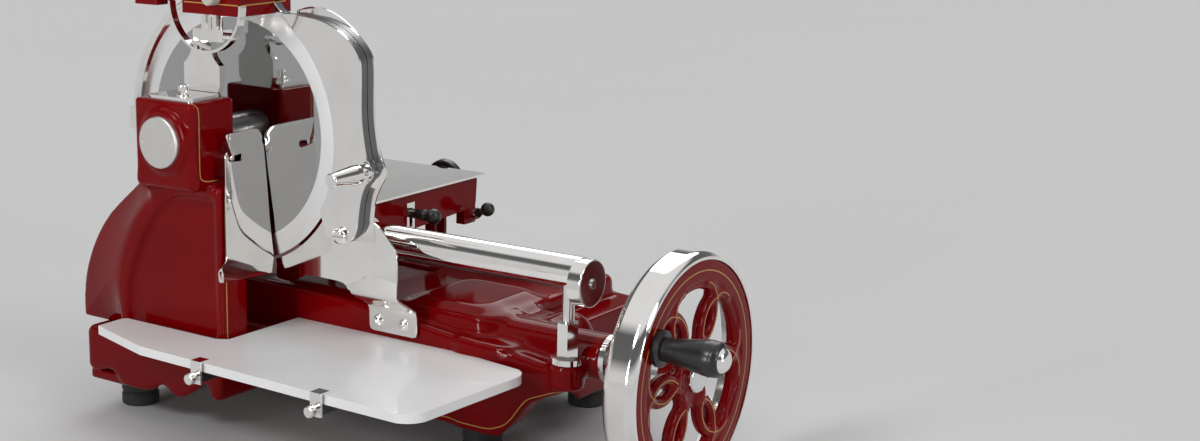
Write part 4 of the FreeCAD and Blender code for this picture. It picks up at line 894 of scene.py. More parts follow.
@dataclass
class Guards:
    """The deflector, the gauge's cover and sheet, and the lower plate with its foot."""

    leaf_x: float = -94.5
    twist: float = 15.0
    twist_from: Point = (-62.0, 198.0)
    twist_over: Point = (59.5, 133.0)
    twist_most: float = 1.15
    gauge_radius: float = 152.5
    lower_radius: float = 153.5

    def leaf(self, across: float, along: float, height: float) -> Spot:
        """Twist the deflector so that its rear edge meets the blade.

        Args:
            across: The flat sheet's first coordinate.
            along: Its second one.
            height: The height in its thickness.

        Returns:
            The drawing point.
        """
        low = min(max((along - self.twist_from[1]) / self.twist_over[1], 0.0), self.twist_most)
        back = min(max((across - self.twist_from[0]) / self.twist_over[0], 0.0), 1.0)
        return (self.leaf_x - self.twist * low * back + height, across, along)

    @staticmethod
    def foot(across: float, along: float, height: float) -> Spot:
        """Bend the foot: down the plate, back to the base and down its wall.

        Args:
            across: The flat sheet's first coordinate.
            along: The length along the bend.
            height: The height in its thickness.

        Returns:
            The drawing point.
        """
        path = [(4, 182), (4.3, 176), (6.5, 171.5), (11, 167.5), (20, 161), (25.5, 156), (27.6, 151.5),
                (28, 147), (28, 115)]
        left = along
        for (y0, z0), (y1, z1) in zip(path, path[1:]):
            run = math.hypot(y1 - y0, z1 - z0)
            if left <= run:
                break
            left -= run
        share = left / run
        side = ((z1 - z0) / run, -(y1 - y0) / run)
        return (across, y0 + (y1 - y0) * share + side[0] * height,
                z0 + (z1 - z0) * share + side[1] * height)

    @staticmethod
    def upright(y: float, way: int = 1) -> Callable[[float, float, float], Spot]:
        """Return how to stand a plate upright, from y toward the rear or, with -1, the front."""
        return lambda across, along, height: (across, y + way * height, along)

    @staticmethod
    def arc(radius: float, start: int, stop: int) -> list[Point]:
        """Return an arc about the blade's centre.

        Args:
            radius: Its radius.
            start: Its first angle in degrees.
            stop: The angle that it ends before.

        Returns:
            A point for every three degrees.
        """
        spots = [polar(radius, angle) for angle in range(start, stop, 3)]
        return [(BLADE_AT[0] + across, BLADE_AT[2] + along) for across, along in spots]

    def build(self) -> None:
        """Make the four plates and the foot."""
        leaf = [(-77.9, 344.2), (-76, 346.6), (-72, 347.2), (-45, 345.9), (-22.2, 344.4), (-12.1, 341.9),
                (-6.5, 338), (-3.2, 332), (-2.8, 322), (-3.2, 295.3), (-5.2, 245), (-5.2, 222.3),
                (-4.4, 198.2), (-8.2, 179.8), (-44.9, 182.1), (-87.9, 184.2), (-91.5, 185), (-93, 188),
                (-93.3, 197.4), (-90.5, 200.5), (-84, 204.2), (-80.8, 206.9), (-79.6, 211), (-79.9, 264.1),
                (-79.7, 323), (-78.6, 326), (-76.4, 327), (-75.4, 325), (-75.4, 318.6), (-74, 316.2),
                (-53.5, 313.6), (-50.4, 315.4), (-49.4, 319), (-50.6, 322), (-53.5, 323), (-67.4, 321.6),
                (-70, 325.5)]
        Plate("deflector_leaf", "frame", "deflector", leaf, 1.5, self.leaf, 0.3, 7.0).build()
        cover = curve([(-80.3, 484.5), (-70.4, 473.5), (-54.9, 473), (-36.6, 471.4), (-18.8, 469.3),
                       (-0.8, 464.4), (14.8, 457.2), (26.5, 448.2), (35, 438.4), (39.4, 428.1),
                       (40.3, 410.1), (39.8, 388.8), (40.2, 366), (42.2, 349.4), (45.6, 331), (49, 321.5),
                       (55.3, 314.8), (55.6, 307), (47.6, 300.2), (41.4, 289.9), (37, 276.2), (34.5, 260.6),
                       (32.6, 247.2), (28, 237.8), (20.1, 231.4), (10.8, 229.2), (1.5, 231), (-6.5, 236.5),
                       (-13, 246.5), (-18, 262.5)], 3.0)
        cover += self.arc(self.gauge_radius, -28, 54)
        Plate("gauge_cover_plate", "cover", "gauge_cover", cover, 2.4, self.upright(-9.6, -1), 0.6).build()
        # The cover's thick side is a separate piece in dark gear iron: a painted dark reflection along the
        # polished cover's edge, not a real iron part
        Plate("gauge_cover_painted_shade_wall", "cover", "", cover, 9.4, self.upright(-0.2, -1), 0.9,
              stock=Stock.IRON).build()
        sheet = curve([(-58, 476), (-41, 480.9), (-23, 480.9), (-3.1, 475.3), (16.5, 464.5), (31.9, 452),
                       (43.5, 439.3), (48.4, 427.1), (48.9, 403.4), (49.1, 380.7), (52.4, 353.3),
                       (56.4, 335.3), (60.6, 322.8), (64.2, 313.6), (63, 304.7), (56.6, 294.1), (51, 282.5),
                       (48, 271.2), (47, 263.4)], 3.0)
        sheet += [(47, 232), (-5, 232)] + self.arc(self.gauge_radius, -35, 55)
        Plate("gauge_sheet_plate", "frame", "gauge_sheet", sheet, 1.7, self.upright(0.3), 0.25).build()
        lower = curve([(-20, 259), (12, 258.5), (28.4, 257.6), (42, 255.6), (54.7, 248.5), (65.5, 238.4),
                       (74.1, 228.5), (77.2, 221)], 3.0)
        lower += [(76.9, 173.6), (9.3, 174.2), (6.6, 179), (2, 181.4), (-6.3, 182.2), (-38.1, 182.6),
                  (-50, 182.2), (-56, 179.5), (-64, 174.5), (-71, 171.2), (-79.8, 170.2), (-93, 171.3),
                  (-96, 174.5), (-96.2, 194.3)]
        lower += self.arc(self.lower_radius, -69, -31)
        Plate("lower_plate_face", "frame", "lower_plate", lower, 2.0, self.upright(2.0), 0.3).build()
        flap = [(10, 1), (76, 1), (77, 13), (85.5, 36), (86, 60), (84.5, 64.5), (80, 66), (26, 66),
                (21.5, 64.5), (20, 60), (20, 36), (11, 13)]
        Plate("lower_plate_foot", "frame", "", flap, 2.0, self.foot, 0.3, 1.5).build()


@dataclass
class BladeDisc:
    """The blade: a mirror disc with a wide ground edge."""

    radius: float = 149.9
    ground: float = 24.0
    half: float = 1.5
    bore: float = 9.2
    dish: float = 0.8

    def build(self) -> bpy.types.Object:
        """Turn the blade."""
        inner = self.radius - self.ground
        low = self.half - self.dish
        profile = [(self.bore, -self.half), (40, -self.half), (inner - 0.4, -self.half),
                   (inner, -self.half + 0.02), (self.radius - 0.2, self.half - 0.55),
                   (self.radius, self.half - 0.3), (self.radius - 0.1, self.half),
                   (self.radius - 42, self.half), (self.radius - 46, low), (25, low),
                   (21, self.half), (self.bore, self.half)]
        return Turning("blade_disc", "cutter", "blade", profile, BLADE_AT, segments=192,
                       stock=Stock.BLADE).build()


@dataclass
class BaseBody:
    """The base: low body, deck and pod, the block under the column, and the arm with its housing."""

    pitch: float = 2.0
    left: float = -314.0
    right: float = 192.0
    front: float = 30.0
    rear: float = 315.0
    floor: float = 35.0
    deck: float = 156.0
    wall: float = 6.0
    post_x: float = 271.0
    tube_at: Point = (40.0, 228.5)
    edge: float = 9.0
    blend: float = 8.0
    shaft_bore: float = 12.0
    post_bore: float = 7.0
    kept_faces: float = 0.35
    pads: tuple[tuple[float, ...], ...] = (
        (120, 33, 184, 92), (120, 250, 184, 312), (-311, 250, -250, 312), (-311, -87, -250, -10))
    pad_height: float = 12.0
    pod_height: float = 9.0

    def body(self, grid: Field) -> np.ndarray:
        """Return the low body with its deck and pod.

        Args:
            grid: The grid that it is drawn on.

        Returns:
            The distance on the grid.
        """
        side = self.right + 12
        profile = [(self.left, self.floor), (self.right, self.floor), (side, 96), (side, 131),
                   (self.right - 38, 134), (-11, 153), (-143, self.deck), (self.left + 8, self.deck),
                   (self.left, self.deck - 8)]
        low = grid.between(grid.outline(profile), "y", self.front, self.rear - 0.6, self.edge)
        low = np.maximum(low, grid.prism((self.left - 60, self.front), (side, self.rear + 60), 24.0))
        deck = grid.prism((self.left + 6, self.front + 16), (self.right - 22, self.rear - 6), 22.0)
        deck = grid.between(deck, "z", self.deck - 40, self.deck, 10.0)
        share = np.clip((grid.z - self.deck) / self.pod_height, 0.0, 1.0)
        pod = (grid.prism((46, 50), (166, 172), 26.0) * (1 - share)
               + grid.prism((60, 61), (151, 159), 20.0) * share)
        pod = grid.between(pod, "z", self.deck - 20, self.deck + 9.2, 5.0)
        return grid.join(grid.join(low, deck, self.blend), pod, self.blend)

    def block(self, grid: Field) -> np.ndarray:
        """Return the block under the column with its waved lower edge.

        Args:
            grid: The grid that it is drawn on.

        Returns:
            The distance on the grid.
        """
        edge = curve([(self.left, 62), (self.left, 51), (-311, 47), (-303, 45.6), (-295, 46.2), (-284, 48.8),
                      (-276, 49.6), (-270, 46.8), (-264.3, 41.2), (-258, 36.6), (-250, 35.2), (-228, 35),
                      (-208, 38.5), (-198, 45), (-190.5, 47.4), (-184, 45), (-175, 38.6), (-162, 38.4),
                      (-151, 43.1), (-135, 53.3), (-124.5, 61.8), (-120.5, 60), (-118.1, 50.5),
                      (-113.5, 46.2), (-107.5, 45.6), (-101.5, 47.5), (-100, 52)], 3.0)
        edge += [(-100, 100), (self.left + 6, 100), (self.left, 94)]
        return grid.between(grid.outline(edge), "y", -90, self.front + 8, self.blend)

    def arm(self, grid: Field) -> np.ndarray:
        """Return the arm with the post's boss and the shaft's housing.

        Args:
            grid: The grid that it is drawn on.

        Returns:
            The distance on the grid.
        """
        _, y0, z0 = WHEEL_AT
        edge = [(140, 40), (176, 39.5), (192, 42), (203, 48), (212, 58), (220, 69), (231, 80), (248, 89),
                (self.post_x, 98), (self.post_x, 125), (255, 126), (198, 133), (140, 133)]
        arm = grid.between(grid.outline(edge), "y", 29, 64, self.edge)
        boss = grid.rod("z", (self.post_x, self.tube_at[0]), 18.0, 103, 131, 5.0)
        arm = grid.join(arm, boss, self.blend)
        housing = grid.rod("x", (y0, z0), 25.0, 162, 300, 2.0)
        dome = np.sqrt((grid.x - 226) ** 2 + (grid.y - y0 - 34) ** 2 + (grid.z - z0 - 2) ** 2) - 28
        neck = grid.box((162, y0 + 8, z0 - 40), (230, y0 + 60, z0 + 22), 12.0)
        web = grid.box((186, y0 - 20, z0 - 50), (232, y0 + 34, z0 - 4), 6.0)
        for solid in (dome, neck, web):
            housing = grid.join(housing, solid, 10.0)
        return grid.join(arm, housing, 12.0)

    def rooms(self, grid: Field) -> Iterable[np.ndarray]:
        """Yield all that is cut from the base.

        Args:
            grid: The grid that it is drawn on.

        Returns:
            The distances from the rooms and bores.
        """
        side = self.right + 12 - self.wall
        room = [(self.left + 6, 20), (self.right - 6, 20), (self.right - 6, 35), (side, 96), (side, 124),
                (self.right - 40, 127), (-11, 146), (-143, 149), (self.left + 6, 149)]
        yield np.maximum(grid.outline(room), grid.slab("y", self.front + 6, self.rear - 6))
        yield np.maximum(grid.prism((-302, 54), (156, 303), 22.0), grid.slab("z", 106, 149))
        for low, high in (((68, 66, 136), (144, 150, 158)),
                          ((-308, -84, 10), (-106, 50, 94)), ((-262, -79, 80), (-138, -49.5, 108)),
                          ((-177, 181, 136), (-9, 195, 170)), ((-222, 46, 145), (-168, 100, 153))):
            yield grid.box(low, high)
        yield grid.rod("x", (112, -55), 120.0, 184.5, 244.5)
        yield grid.rod("x", WHEEL_AT[1:], self.shaft_bore, -170, 400)
        yield grid.rod("z", (self.post_x, self.tube_at[0]), self.post_bore, 90, 140)

    def stand(self) -> None:
        """Cast the guide tube's stand behind the column."""
        grid = Field((-214, 14, 140), (-190, 66, 255), 1.5)
        stand = grid.box((-210, 26, 144), (-194, 54, 228.5), 3.0)
        stand = grid.join(stand, grid.rod("x", self.tube_at, 22.5, -210, -194, 2.0), 4.0)
        grid.cast("tube_stand", np.maximum(stand, -grid.rod("x", self.tube_at, 16.5, -212, -150)))

    def build(self) -> None:
        """Cast the base and the tube's stand, and put them in the casting's place."""
        grid = Field((self.left - 4, -94, self.floor - 4), (304, self.rear + 4, self.deck + 14), self.pitch)
        casting = grid.join(self.body(grid), self.block(grid), 4.0)
        casting = grid.join(casting, self.arm(grid), 14.0)
        for room in self.rooms(grid):
            casting = np.maximum(casting, -room)
        for x0, y0, x1, y1 in self.pads:
            pad = grid.box((x0, y0, self.floor), (x1, y1, self.floor + self.pad_height))
            casting = np.minimum(casting, pad)
        thing = grid.cast("base_body", casting)
        lighten(thing, self.kept_faces)
        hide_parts("base_casting")
        self.stand()


@dataclass
class WheelCasting:
    """The flywheel's casting: ring, beaded openings, crossing ribs and hub, with its gold lines."""

    pitch: float = 1.25
    disc: float = 119.0
    inner: float = 97.0
    thick: float = 15.0
    bead: float = 94.0
    bead_size: float = 6.0
    bead_depth: float = 8.0
    spokes: int = 6
    rib: float = 6.4
    rib_depth: float = 0.8
    hub: float = 29.5
    collar: float = 21.5
    boss: float = 13.5
    bow: float = 33.9
    bow_at: Point = (59.0, 22.9)
    first_turn: float = 2.0
    stand: Point = (-78.5, 48.0)
    shaft_bore: float = 8.0
    stand_bore: float = 5.0
    gold_circle: float = 108.0
    gold_depth: float = -1.0

    def path(self, angles: Iterable[int]) -> list[Point]:
        """Return one rib's line in its spoke's own plane: a bow, then a curl at the rim.

        Args:
            angles: The bow's angles in degrees.

        Returns:
            The line.
        """
        spots = [polar(self.bow, angle) for angle in angles]
        points = [(self.bow_at[0] + along, self.bow_at[1] - across) for across, along in spots]
        return points + [(88.2, 4.4), (91.6, 10.0), (93.2, 17.0), (92.6, 25.0)]

    def build(self) -> bpy.types.Object:
        """Cast the wheel and put it in the frame's place."""
        x0, y0, z0 = WHEEL_AT
        reach = self.disc + 3
        grid = Field((x0 - 37, y0 - reach, z0 - reach), (x0 + 3, y0 + reach, z0 + reach), self.pitch)
        radius = np.hypot(grid.y - y0, grid.z - z0)
        turn = np.arctan2(grid.z - z0, grid.y - y0) - math.radians(self.first_turn)
        step = 2 * math.pi / self.spokes
        turn = (turn + step / 2) % step - step / 2
        along, across = radius * np.cos(turn), radius * np.sin(turn)
        deep = grid.x - x0
        path = self.path(range(-60, 49, 6))
        ribs = [np.hypot(thread(along, hand * across, path), deep + self.rib + self.rib_depth) - self.rib
                for hand in (1, -1)]
        casting = grid.join(ribs[0], ribs[1], 5.0)
        bead = np.hypot(radius - self.bead, deep + self.bead_depth) - self.bead_size
        band = np.maximum(radius - self.disc, self.inner - radius)
        band = grid.between(band, "x", x0 - self.thick, x0, 2.0)
        hub = grid.join(grid.rod("x", (y0, z0), self.hub, x0 - 16, x0 - 4, 5.0),
                        grid.rod("x", (y0, z0), self.collar, x0 - 34, x0 - 10, 3.0), 9.0)
        stand = (y0 + self.stand[0], z0 + self.stand[1])
        boss = grid.rod("x", stand, self.boss, x0 - self.thick, x0 - 0.4, 1.5)
        for solid, blend in ((bead, 5.0), (band, 1.6), (hub, 6.0), (boss, 4.0)):
            casting = grid.join(casting, solid, blend)
        for hole, size in (((y0, z0), self.shaft_bore), (stand, self.stand_bore)):
            casting = np.maximum(casting, -grid.rod("x", hole, size, x0 - 60, x0 + 20))
        return grid.cast("wheel_casting", casting, "wheel", node="flywheel_casting", relax=3)

    @staticmethod
    def spot(at: Point, turn: float, depth: float) -> Spot:
        """Turn a point of one spoke into a drawing point.

        Args:
            at: The point, along and across the spoke.
            turn: The spoke's angle in degrees.
            depth: The point's place along the wheel's axis.

        Returns:
            The drawing point.
        """
        angle = math.radians(turn)
        flat = (at[0] * math.cos(angle) - at[1] * math.sin(angle),
                at[0] * math.sin(angle) + at[1] * math.cos(angle))
        return (WHEEL_AT[0] + depth, WHEEL_AT[1] + flat[0], WHEEL_AT[2] + flat[1])

    def lines(self) -> None:
        """Lay the gold circle and the twelve gold loops along the ribs."""
        ring = [self.spot((self.gold_circle, 0.0), degrees, 0.0) for degrees in range(0, 360, 6)]
        GoldLine("flywheel_gold_circle", "wheel_casting", "wheel", [ring], closed=True).lay()
        path = self.path(range(-44, 45, 8))
        turns = [self.first_turn + 360 / self.spokes * number for number in range(self.spokes)]
        loops = [[self.spot((along, hand * across), turn, self.gold_depth) for along, across in path]
                 for turn in turns for hand in (1, -1)]
        GoldLine("flywheel_gold_loops", "wheel_casting", "wheel", loops, width=1.1).lay()


def ball(radius: float, centre: float, start: float) -> list[Point]:
    """Return a ball's half outline for turning.

    Args:
        radius: Its radius.
        centre: Its centre's height.
        start: The angle that it starts at, in degrees.

    Returns:
        The outline, which ends on the axis.
    """
    spots = [polar(radius, angle) for angle in np.linspace(start, 90.0, 18)]
    spots[-1] = (0.0, radius)
    return [(across, centre + along) for across, along in spots]


@dataclass
class Levers:
    """The locking lever and the release lever with their black balls."""

    lock_at: Spot = (10.0, 111.0, 242.0)
    lock_aim: Spot = (1.0, 0.0, 0.0)
    release_at: Spot = (10.0, 231.0, 218.0)
    release_aim: Spot = (30.0, -8.0, 12.5)

    def build(self) -> None:
        """Turn both levers."""
        lock = [(0, -13), (4.6, -13), (4.6, -9), (2.4, -8.6), (2.4, -1), (5, -0.6), (5.4, 0.2), (5.4, 16),
                (6.1, 16.6), (6.4, 17.5), (6.4, 24.5), (5.6, 25.8), (4.4, 26.4)]
        lock += ball(8.9, 34.6, -55)
        Turning("lock_lever_ball", "lock_lever", "locking_lever", lock, self.lock_at, self.lock_aim, 48,
                Stock.BLACK).build()
        barrel = [(0, -8), (4, -8), (4, 0.3), (6.2, 0.5), (6.7, 1.2), (6.7, 13.2), (6.2, 14), (0, 14.2)]
        Turning("release_lever_barrel", "release", "release_lever", barrel, self.release_at,
                self.release_aim, 48).build()
        arm = [(0, 13), (5.6, 14.3), (5.8, 15.4), (4.2, 19.5), (4, 22), (5, 25.5)] + ball(8.3, 33.5, -48)
        Turning("release_lever_ball", "release", "", arm, self.release_at, self.release_aim, 48,
                Stock.BLACK).build()


@dataclass
class Fixings:
    """The deflector's long pin, the cap's two screws and the foot's two slotted bolts."""

    bolts: tuple[tuple[Spot, float], ...] = (((33.0, 25.9, 138.0), 35.0), ((68.0, 25.9, 138.0), -20.0))
    head: float = 7.2
    dome: float = 8.4
    dome_rise: float = 4.2
    slot_half: float = 0.8
    slot_floor: float = -2.4
    pin_at: Spot = (-113.4, -67.0, 319.3)
    cap_at: Spot = (-155.0, -119.9, 337.0)
    cap_screws: Point = (-22.0, 22.0)

    def bolt(self, number: int, at: Spot, turn: float) -> None:
        """Make one domed bolt with its slot.

        Args:
            number: The bolt's number.
            at: The middle of its seat.
            turn: The slot's angle in degrees.
        """
        x0, y0, z0 = at
        grid = Field((x0 - 9, y0 - 6, z0 - 9), (x0 + 9, y0 + 2.5, z0 + 9), 0.45)
        away = np.hypot(grid.x - x0, grid.z - z0)
        dome = np.sqrt(away ** 2 + (grid.y - y0 - self.dome_rise) ** 2) - self.dome
        head = grid.trim(np.maximum(dome, grid.y - y0), -(away - self.head), 0.6)
        angle = math.radians(turn)
        slot = np.abs((grid.x - x0) * math.sin(angle) + (grid.z - z0) * math.cos(angle)) - self.slot_half
        slot = np.maximum(slot, grid.y - y0 - self.slot_floor)
        grid.cast(f"flange_bolt_{number}", np.maximum(head, -slot), stock=Stock.POLISH, relax=1)

    def build(self) -> None:
        """Make every screw and the pin."""
        for number, (at, turn) in enumerate(self.bolts):
            self.bolt(number, at, turn)
        pin = [(0, -4), (3.2, -4), (3.2, 18.5), (3, 19.2), (2.4, 19.6), (0, 19.6)]
        Turning("deflector_pin", "frame", "fixing_screws", pin, self.pin_at, (1.0, 0.0, 0.0), 32).build()
        screw = [(0, -1.5), (2.3, -1.5), (2.3, 0.2), (1.6, 0.8), (0, 1)]
        for number, side in enumerate(self.cap_screws):
            at = (self.cap_at[0] + side, self.cap_at[1], self.cap_at[2])
            Turning(f"cap_screw_{number}", "frame", "", screw, at, (0.0, -1.0, 0.0), 24).build()


@dataclass
class Column:
    """The chain case and the bearing block above it, cast as one."""

    pitch: float = 1.6
    left: float = -203.0
    right: float = -113.5
    front: float = -108.5
    back: float = -40.0
    top: float = 381.0
    neck: float = 283.0
    shell_front: float = -84.0
    shell_back: float = -46.0
    right_face: float = -96.0
    foot: float = 100.0
    bore_at: Point = (-150.0, 337.0)
    boss_at: Point = (-155.0, 337.0)
    boss: float = 36.0
    bore: float = 13.0
    lip: float = 16.0
    flare: float = 0.9
    recess: float = 6.5

    def case(self, grid: Field) -> np.ndarray:
        """Return the chain case, drawn in toward its front.

        Args:
            grid: The grid that it is drawn on.

        Returns:
            The distance on the grid.
        """
        rear = curve([(-345, self.foot), (-345.5, 120), (-341, 150), (-331, 178), (-316, 205),
                      (-297, 229), (-276, 248), (-254, 266), (-232, 284), (-200, 292)])
        rear += [(-119, 294), (self.right_face, 287), (self.right_face, self.foot)]
        fore = curve([(-259, self.foot), (-262.5, 136), (-263.5, 160), (-256, 191), (-242, 222),
                      (-223, 248), (-203, 267), (-182, 281), (-160, 290)])
        fore += [(-121, 291), (-101, 285), (-101, self.foot)]
        start = self.shell_back - self.lip
        share = np.clip((start - grid.y) / (start - self.shell_front), 0, 1) ** self.flare
        flat = grid.outline(rear) * (1 - share) + grid.outline(fore) * share
        case = grid.between(flat, "y", self.shell_front, self.shell_back, 5.0)
        return grid.between(case, "z", self.foot, 400.0, 0.5)

    def panel(self, grid: Field) -> np.ndarray:
        """Return the recess in the case's front.

        Args:
            grid: The grid that it is drawn on.

        Returns:
            The distance on the grid.
        """
        edge = curve([(-247, self.foot - 20), (-249, 138), (-243, 170), (-231, 200), (-214, 229),
                      (-196, 252), (-176, 268), (-158, 274)])
        edge += [(-112, 276), (-107, 271), (-107, self.foot - 20)]
        stop = self.shell_front + self.recess
        return grid.between(grid.outline(edge), "y", self.shell_front - 30, stop, 9.0)

    def rooms(self, grid: Field) -> Iterable[np.ndarray]:
        """Yield the chain's room, the space above it, the bearing's bore and the lid's socket.

        Args:
            grid: The grid that it is drawn on.

        Returns:
            The distances from them.
        """
        room = grid.outline([(-104, 90), (-104, 273), (-120, 305), (-196, 305), (-196, 287), (-262, 173),
                              (-262, 90)])
        yield np.maximum(room, grid.slab("y", -74, -30))
        yield grid.box((-196, -75, 277), (-123, -51, 367), 1.0)
        yield grid.rod("y", self.bore_at, self.bore, -130, -20)
        yield grid.rod("z", (-149, -84), 3.4, 376.5, 400)

    def build(self) -> bpy.types.Object:
        """Cast the column and put it in the casting's place."""
        grid = Field((-351, -124, self.foot - 5), (-90, -34, self.top + 6), self.pitch)
        block = grid.box((self.left, self.front, self.neck), (self.right, self.back, self.top + 30), 7.5)
        block = grid.trim(block, -(grid.z - self.top), 4.0)
        fillet = 7.0 + 26.0 * np.clip((-165 - grid.x) / 35.0, 0.0, 1.0)
        casting = grid.join(self.case(grid), block, fillet)
        casting = grid.join(casting, grid.rod("y", self.boss_at, self.boss, -114, -100, 5.0), 5.0)
        casting = grid.trim(casting, self.panel(grid), 3.0)
        for room in self.rooms(grid):
            casting = np.maximum(casting, -room)
        return grid.cast("column_body", casting, node="column_casting")


# ---------------------------------------------------------------- gold lines


@dataclass
class GoldLine:
    """A fine gold line laid on a casting: paths in drawing millimetres.

    The section's points are shares of the width across and millimetres above the surface.
    """

    name: str
    node: str
    body: str
    paths: Sequence[Sequence[Spot]]
    width: float = 1.3
    closed: bool = False
    section: tuple[Point, ...] = ((-0.5, -0.1), (-0.42, 0.1), (0.42, 0.1), (0.5, -0.1))

    def surface(self) -> BVHTree:
        """Return the casting's surface for finding its nearest points."""
        mesh = (bpy.data.objects.get(self.node) or frame["nodes"][self.node]).data
        return BVHTree.FromPolygons([vertex.co.copy() for vertex in mesh.vertices],
                                    [tuple(face.vertices) for face in mesh.polygons])

    def ribbon(self, mesh: bmesh.types.BMesh, tree: BVHTree, points: list[Vector]) -> None:
        """Lay one line on the surface.

        Args:
            mesh: The mesh that gets the line.
            tree: The casting's surface.
            points: The line, in drawing millimetres.
        """
        spots = [tree.find_nearest(metres(*point)) for point in points]
        count = len(spots)
        rows = []
        for number, (spot, normal, _, _) in enumerate(spots):
            if self.closed:
                before, after = spots[number - 1][0], spots[(number + 1) % count][0]
            else:
                before, after = spots[max(number - 1, 0)][0], spots[min(number + 1, count - 1)][0]
            side = normal.cross(after - before)
            if side.length < TINY:
                continue
            side.normalize()
            row = []
            for reach, lift in self.section:
                edge, out, _, _ = tree.find_nearest(spot + side * reach * self.width * MM)
                row.append(mesh.verts.new(edge + out * lift * MM))
            rows.append(row)
        for first, second in zip(rows, rows[1:] + (rows[:1] if self.closed else [])):
            for column in range(len(self.section) - 1):
                mesh.faces.new((first[column], first[column + 1], second[column + 1], second[column]))

    def lay(self) -> bpy.types.Object:
        """Make all the lines of this casting as one piece."""
        mesh = bmesh.new()
        tree = self.surface()
        for path in self.paths:
            self.ribbon(mesh, tree, smooth_path(path, self.closed))
        bmesh.ops.recalc_face_normals(mesh, faces=mesh.faces)
        data = bpy.data.meshes.new(self.name)
        mesh.to_mesh(data)
        mesh.free()
        return show(self.name, data, self.body, Stock.GOLD)


@dataclass
class CastingLines:
    """The gold lines of the column, the shell, the sharpener's housing and the base."""

    column: tuple[Spot, ...] = (
        (-122, -106, 383), (-113.5, -101, 378), (-113.5, -98, 370), (-113.5, -98, 340), (-113.5, -98, 306),
        (-113.5, -96, 298), (-113.5, -88, 294.5), (-113.5, -72, 293.5), (-113.5, -60, 294.5),
        (-113.5, -50, 296))
    shell: tuple[Spot, ...] = (
        (-96, -76, 276), (-96, -76.5, 230), (-96, -76.5, 170), (-96, -76.5, 120), (-96, -75, 110),
        (-96, -68, 106))
    housing: tuple[Spot, ...] = (
        (-169, -50, 484), (-169, -58, 484), (-163, -62, 484), (-140, -62, 484), (-110, -62, 484),
        (-90, -62, 484), (-84, -58, 484), (-84, -40, 484), (-84, -10, 484), (-84, 12, 484))
    base: tuple[Spot, ...] = (
        (106.6, 29, 43.5), (140, 29, 43.5), (175.6, 29, 43.5), (190, 29, 46.5), (203, 29, 53), (212, 29, 63),
        (219, 29, 73), (229.2, 29, 84.5), (250, 29, 93), (273.9, 29, 103.5))

    def lay(self) -> None:
        """Lay the lines on each casting."""
        for name, node, path in (("column", "column_body", self.column), ("shell", "column_body", self.shell),
                                 ("housing", "sharpener_housing", self.housing),
                                 ("base", "base_body", self.base)):
            GoldLine(f"{name}_gold_line", node, "frame", [path]).lay()


# ---------------------------------------------------------------- studio


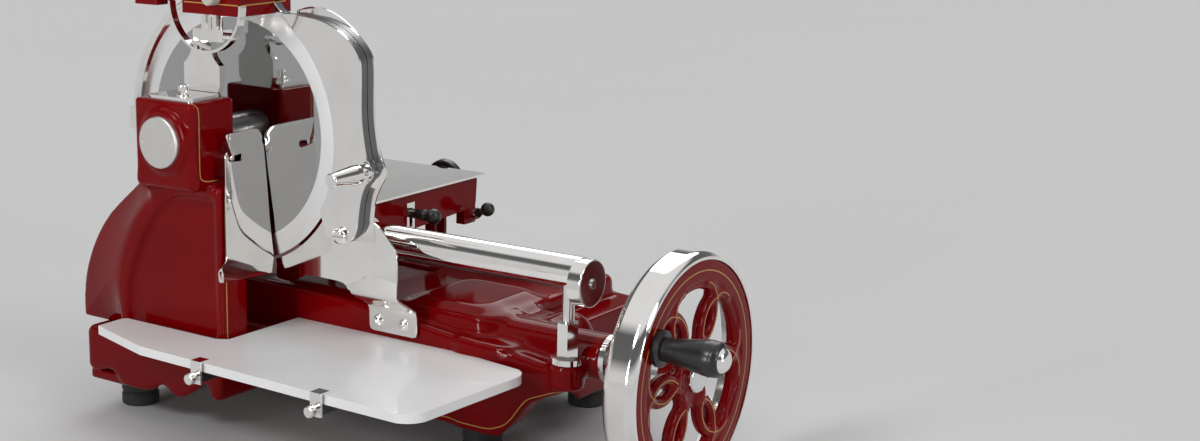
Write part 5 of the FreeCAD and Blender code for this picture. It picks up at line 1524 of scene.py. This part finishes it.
@dataclass
class Studio:
    """The floor, the light and the camera."""

    floor_size: float = 60.0
    grey: float = 0.63
    world: float = 1.0
    walls: tuple[tuple[float, float], ...] = (
        (0.0, 0.62), (0.12, 0.60), (0.3, 0.12), (0.6, 0.10), (0.72, 0.70), (1.0, 0.74))
    camera_at: Spot = (1236.14, -1477.05, 678.79)
    azimuth: float = 37.4837
    elevation: float = 12.5309
    lens: float = 54.282
    shift: float = 0.15417
    beam: float = 45.0
    lift: float = 0.2

    def floor(self) -> None:
        """Lay the plain floor."""
        mesh = bpy.data.meshes.new("floor")
        half = self.floor_size / 2
        corners = [(-half, -half, 0), (half, -half, 0), (half, half, 0), (-half, half, 0)]
        mesh.from_pydata(corners, [], [(0, 1, 2, 3)])
        thing = bpy.data.objects.new("floor", mesh)
        bpy.context.collection.objects.link(thing)
        tree = Tree("floor paint")
        shades = [rgba(grey, grey, grey) for grey in (self.grey, self.grey * 0.985)]
        colour = tree.blend(tree.noise(1.5, 2.0), *shades)
        dress(thing, tree.surface(Base_Color=colour, Roughness=0.9, Specular_IOR_Level=0.0))

    @staticmethod
    def hang(light: bpy.types.Light, come: Vector) -> bpy.types.Object:
        """Hang a lamp.

        Args:
            light: The light.
            come: The direction that its light comes from.

        Returns:
            The lamp.
        """
        thing = bpy.data.objects.new(light.name, light)
        thing.rotation_euler = come.to_track_quat("Z", "Y").to_euler()
        bpy.context.collection.objects.link(thing)
        return thing

    def lamp(self, name: str, come: Spot, spread: float, power: float) -> None:
        """Hang one large far lamp with soft edges.

        Args:
            name: The lamp's name.
            come: The direction that its light comes from.
            spread: How wide it looks from the object, in degrees.
            power: Its strength.
        """
        light = bpy.data.lights.new(name, "SUN")
        light.angle = math.radians(spread)
        light.energy = power
        self.hang(light, Vector(come))

    def strip(self, name: str, azimuth: float, reach: float, size: tuple[float, float], power: float) -> None:
        """Stand one tall soft strip lamp on the floor, facing the slicer.

        Args:
            name: The lamp's name.
            azimuth: Where it stands, in degrees from the slicer's right side.
            reach: How far away it stands, in metres.
            size: Its width and height in metres.
            power: Its power in watts.
        """
        light = bpy.data.lights.new(name, "AREA")
        light.shape = "RECTANGLE"
        light.size, light.size_y = size
        light.energy = power
        light.spread = math.radians(self.beam)
        at = Vector((*polar(reach, azimuth), size[1] / 2 + self.lift))
        thing = self.hang(light, Vector((at.x, at.y, 0.0)))
        thing.location = at
        thing.visible_camera = False

    def lights(self) -> None:
        """Hang the lamps and set the studio's walls and bright ceiling."""
        self.lamp("key", (-0.25, -1.0, 0.85), 15, 0.75)
        self.lamp("side", (1.0, -0.15, 0.75), 20, 0.5)
        self.lamp("rear", (-0.5, 1.0, 1.0), 40, 0.8)
        self.strip("front_strip", -98, 2.9, (0.3, 2.4), 4.5)
        self.strip("right_strip", -14, 2.9, (0.2, 2.4), 2.2)
        world = bpy.data.worlds.new("studio")
        world.use_nodes = True
        nodes, links = world.node_tree.nodes, world.node_tree.links
        coordinates = nodes.new("ShaderNodeTexCoord")
        parts = nodes.new("ShaderNodeSeparateXYZ")
        links.new(coordinates.outputs["Generated"], parts.inputs[0])
        ramp = nodes.new("ShaderNodeValToRGB")
        walls = [(height, rgba(level, level, level * 1.01)) for height, level in self.walls]
        Tree.stops(ramp.color_ramp, walls)
        links.new(parts.outputs[2], ramp.inputs[0])
        links.new(ramp.outputs[0], nodes["Background"].inputs[0])
        nodes["Background"].inputs[1].default_value = self.world
        bpy.context.scene.world = world

    def camera(self) -> None:
        """Stand the camera."""
        azimuth = math.radians(self.azimuth)
        elevation = math.radians(self.elevation)
        back = Vector((math.sin(azimuth) * math.cos(elevation),
                       -math.cos(azimuth) * math.cos(elevation), math.sin(elevation)))
        right = Vector((math.cos(azimuth), math.sin(azimuth), 0.0))
        up = back.cross(right)
        data = bpy.data.cameras.new("camera")
        data.sensor_width = 36.0
        data.lens = self.lens
        data.shift_x = self.shift
        data.clip_end = 200.0
        thing = bpy.data.objects.new("camera", data)
        turn = Matrix((right, up, back)).transposed().to_4x4()
        thing.matrix_world = Matrix.Translation(metres(*self.camera_at)) @ turn
        bpy.context.collection.objects.link(thing)
        bpy.context.scene.camera = thing

    def build(self) -> None:
        """Set up the whole studio."""
        self.floor()
        self.lights()
        self.camera()
        bpy.context.scene.view_settings.view_transform = "Standard"
        LOG.info("studio built")


def main() -> None:
    """Set up the studio, dress the frame and build the slicer's own pieces."""
    logging.basicConfig(level=logging.INFO, format="%(message)s")
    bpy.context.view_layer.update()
    Studio().build()
    dress_frame()
    wheel = WheelCasting()
    for maker in (Column(), BaseBody(), Guards(), BladeDisc(), wheel, Levers(), Fixings()):
        maker.build()
    wheel.lines()
    CastingLines().lay()


if __name__ == "__main__":
    main()
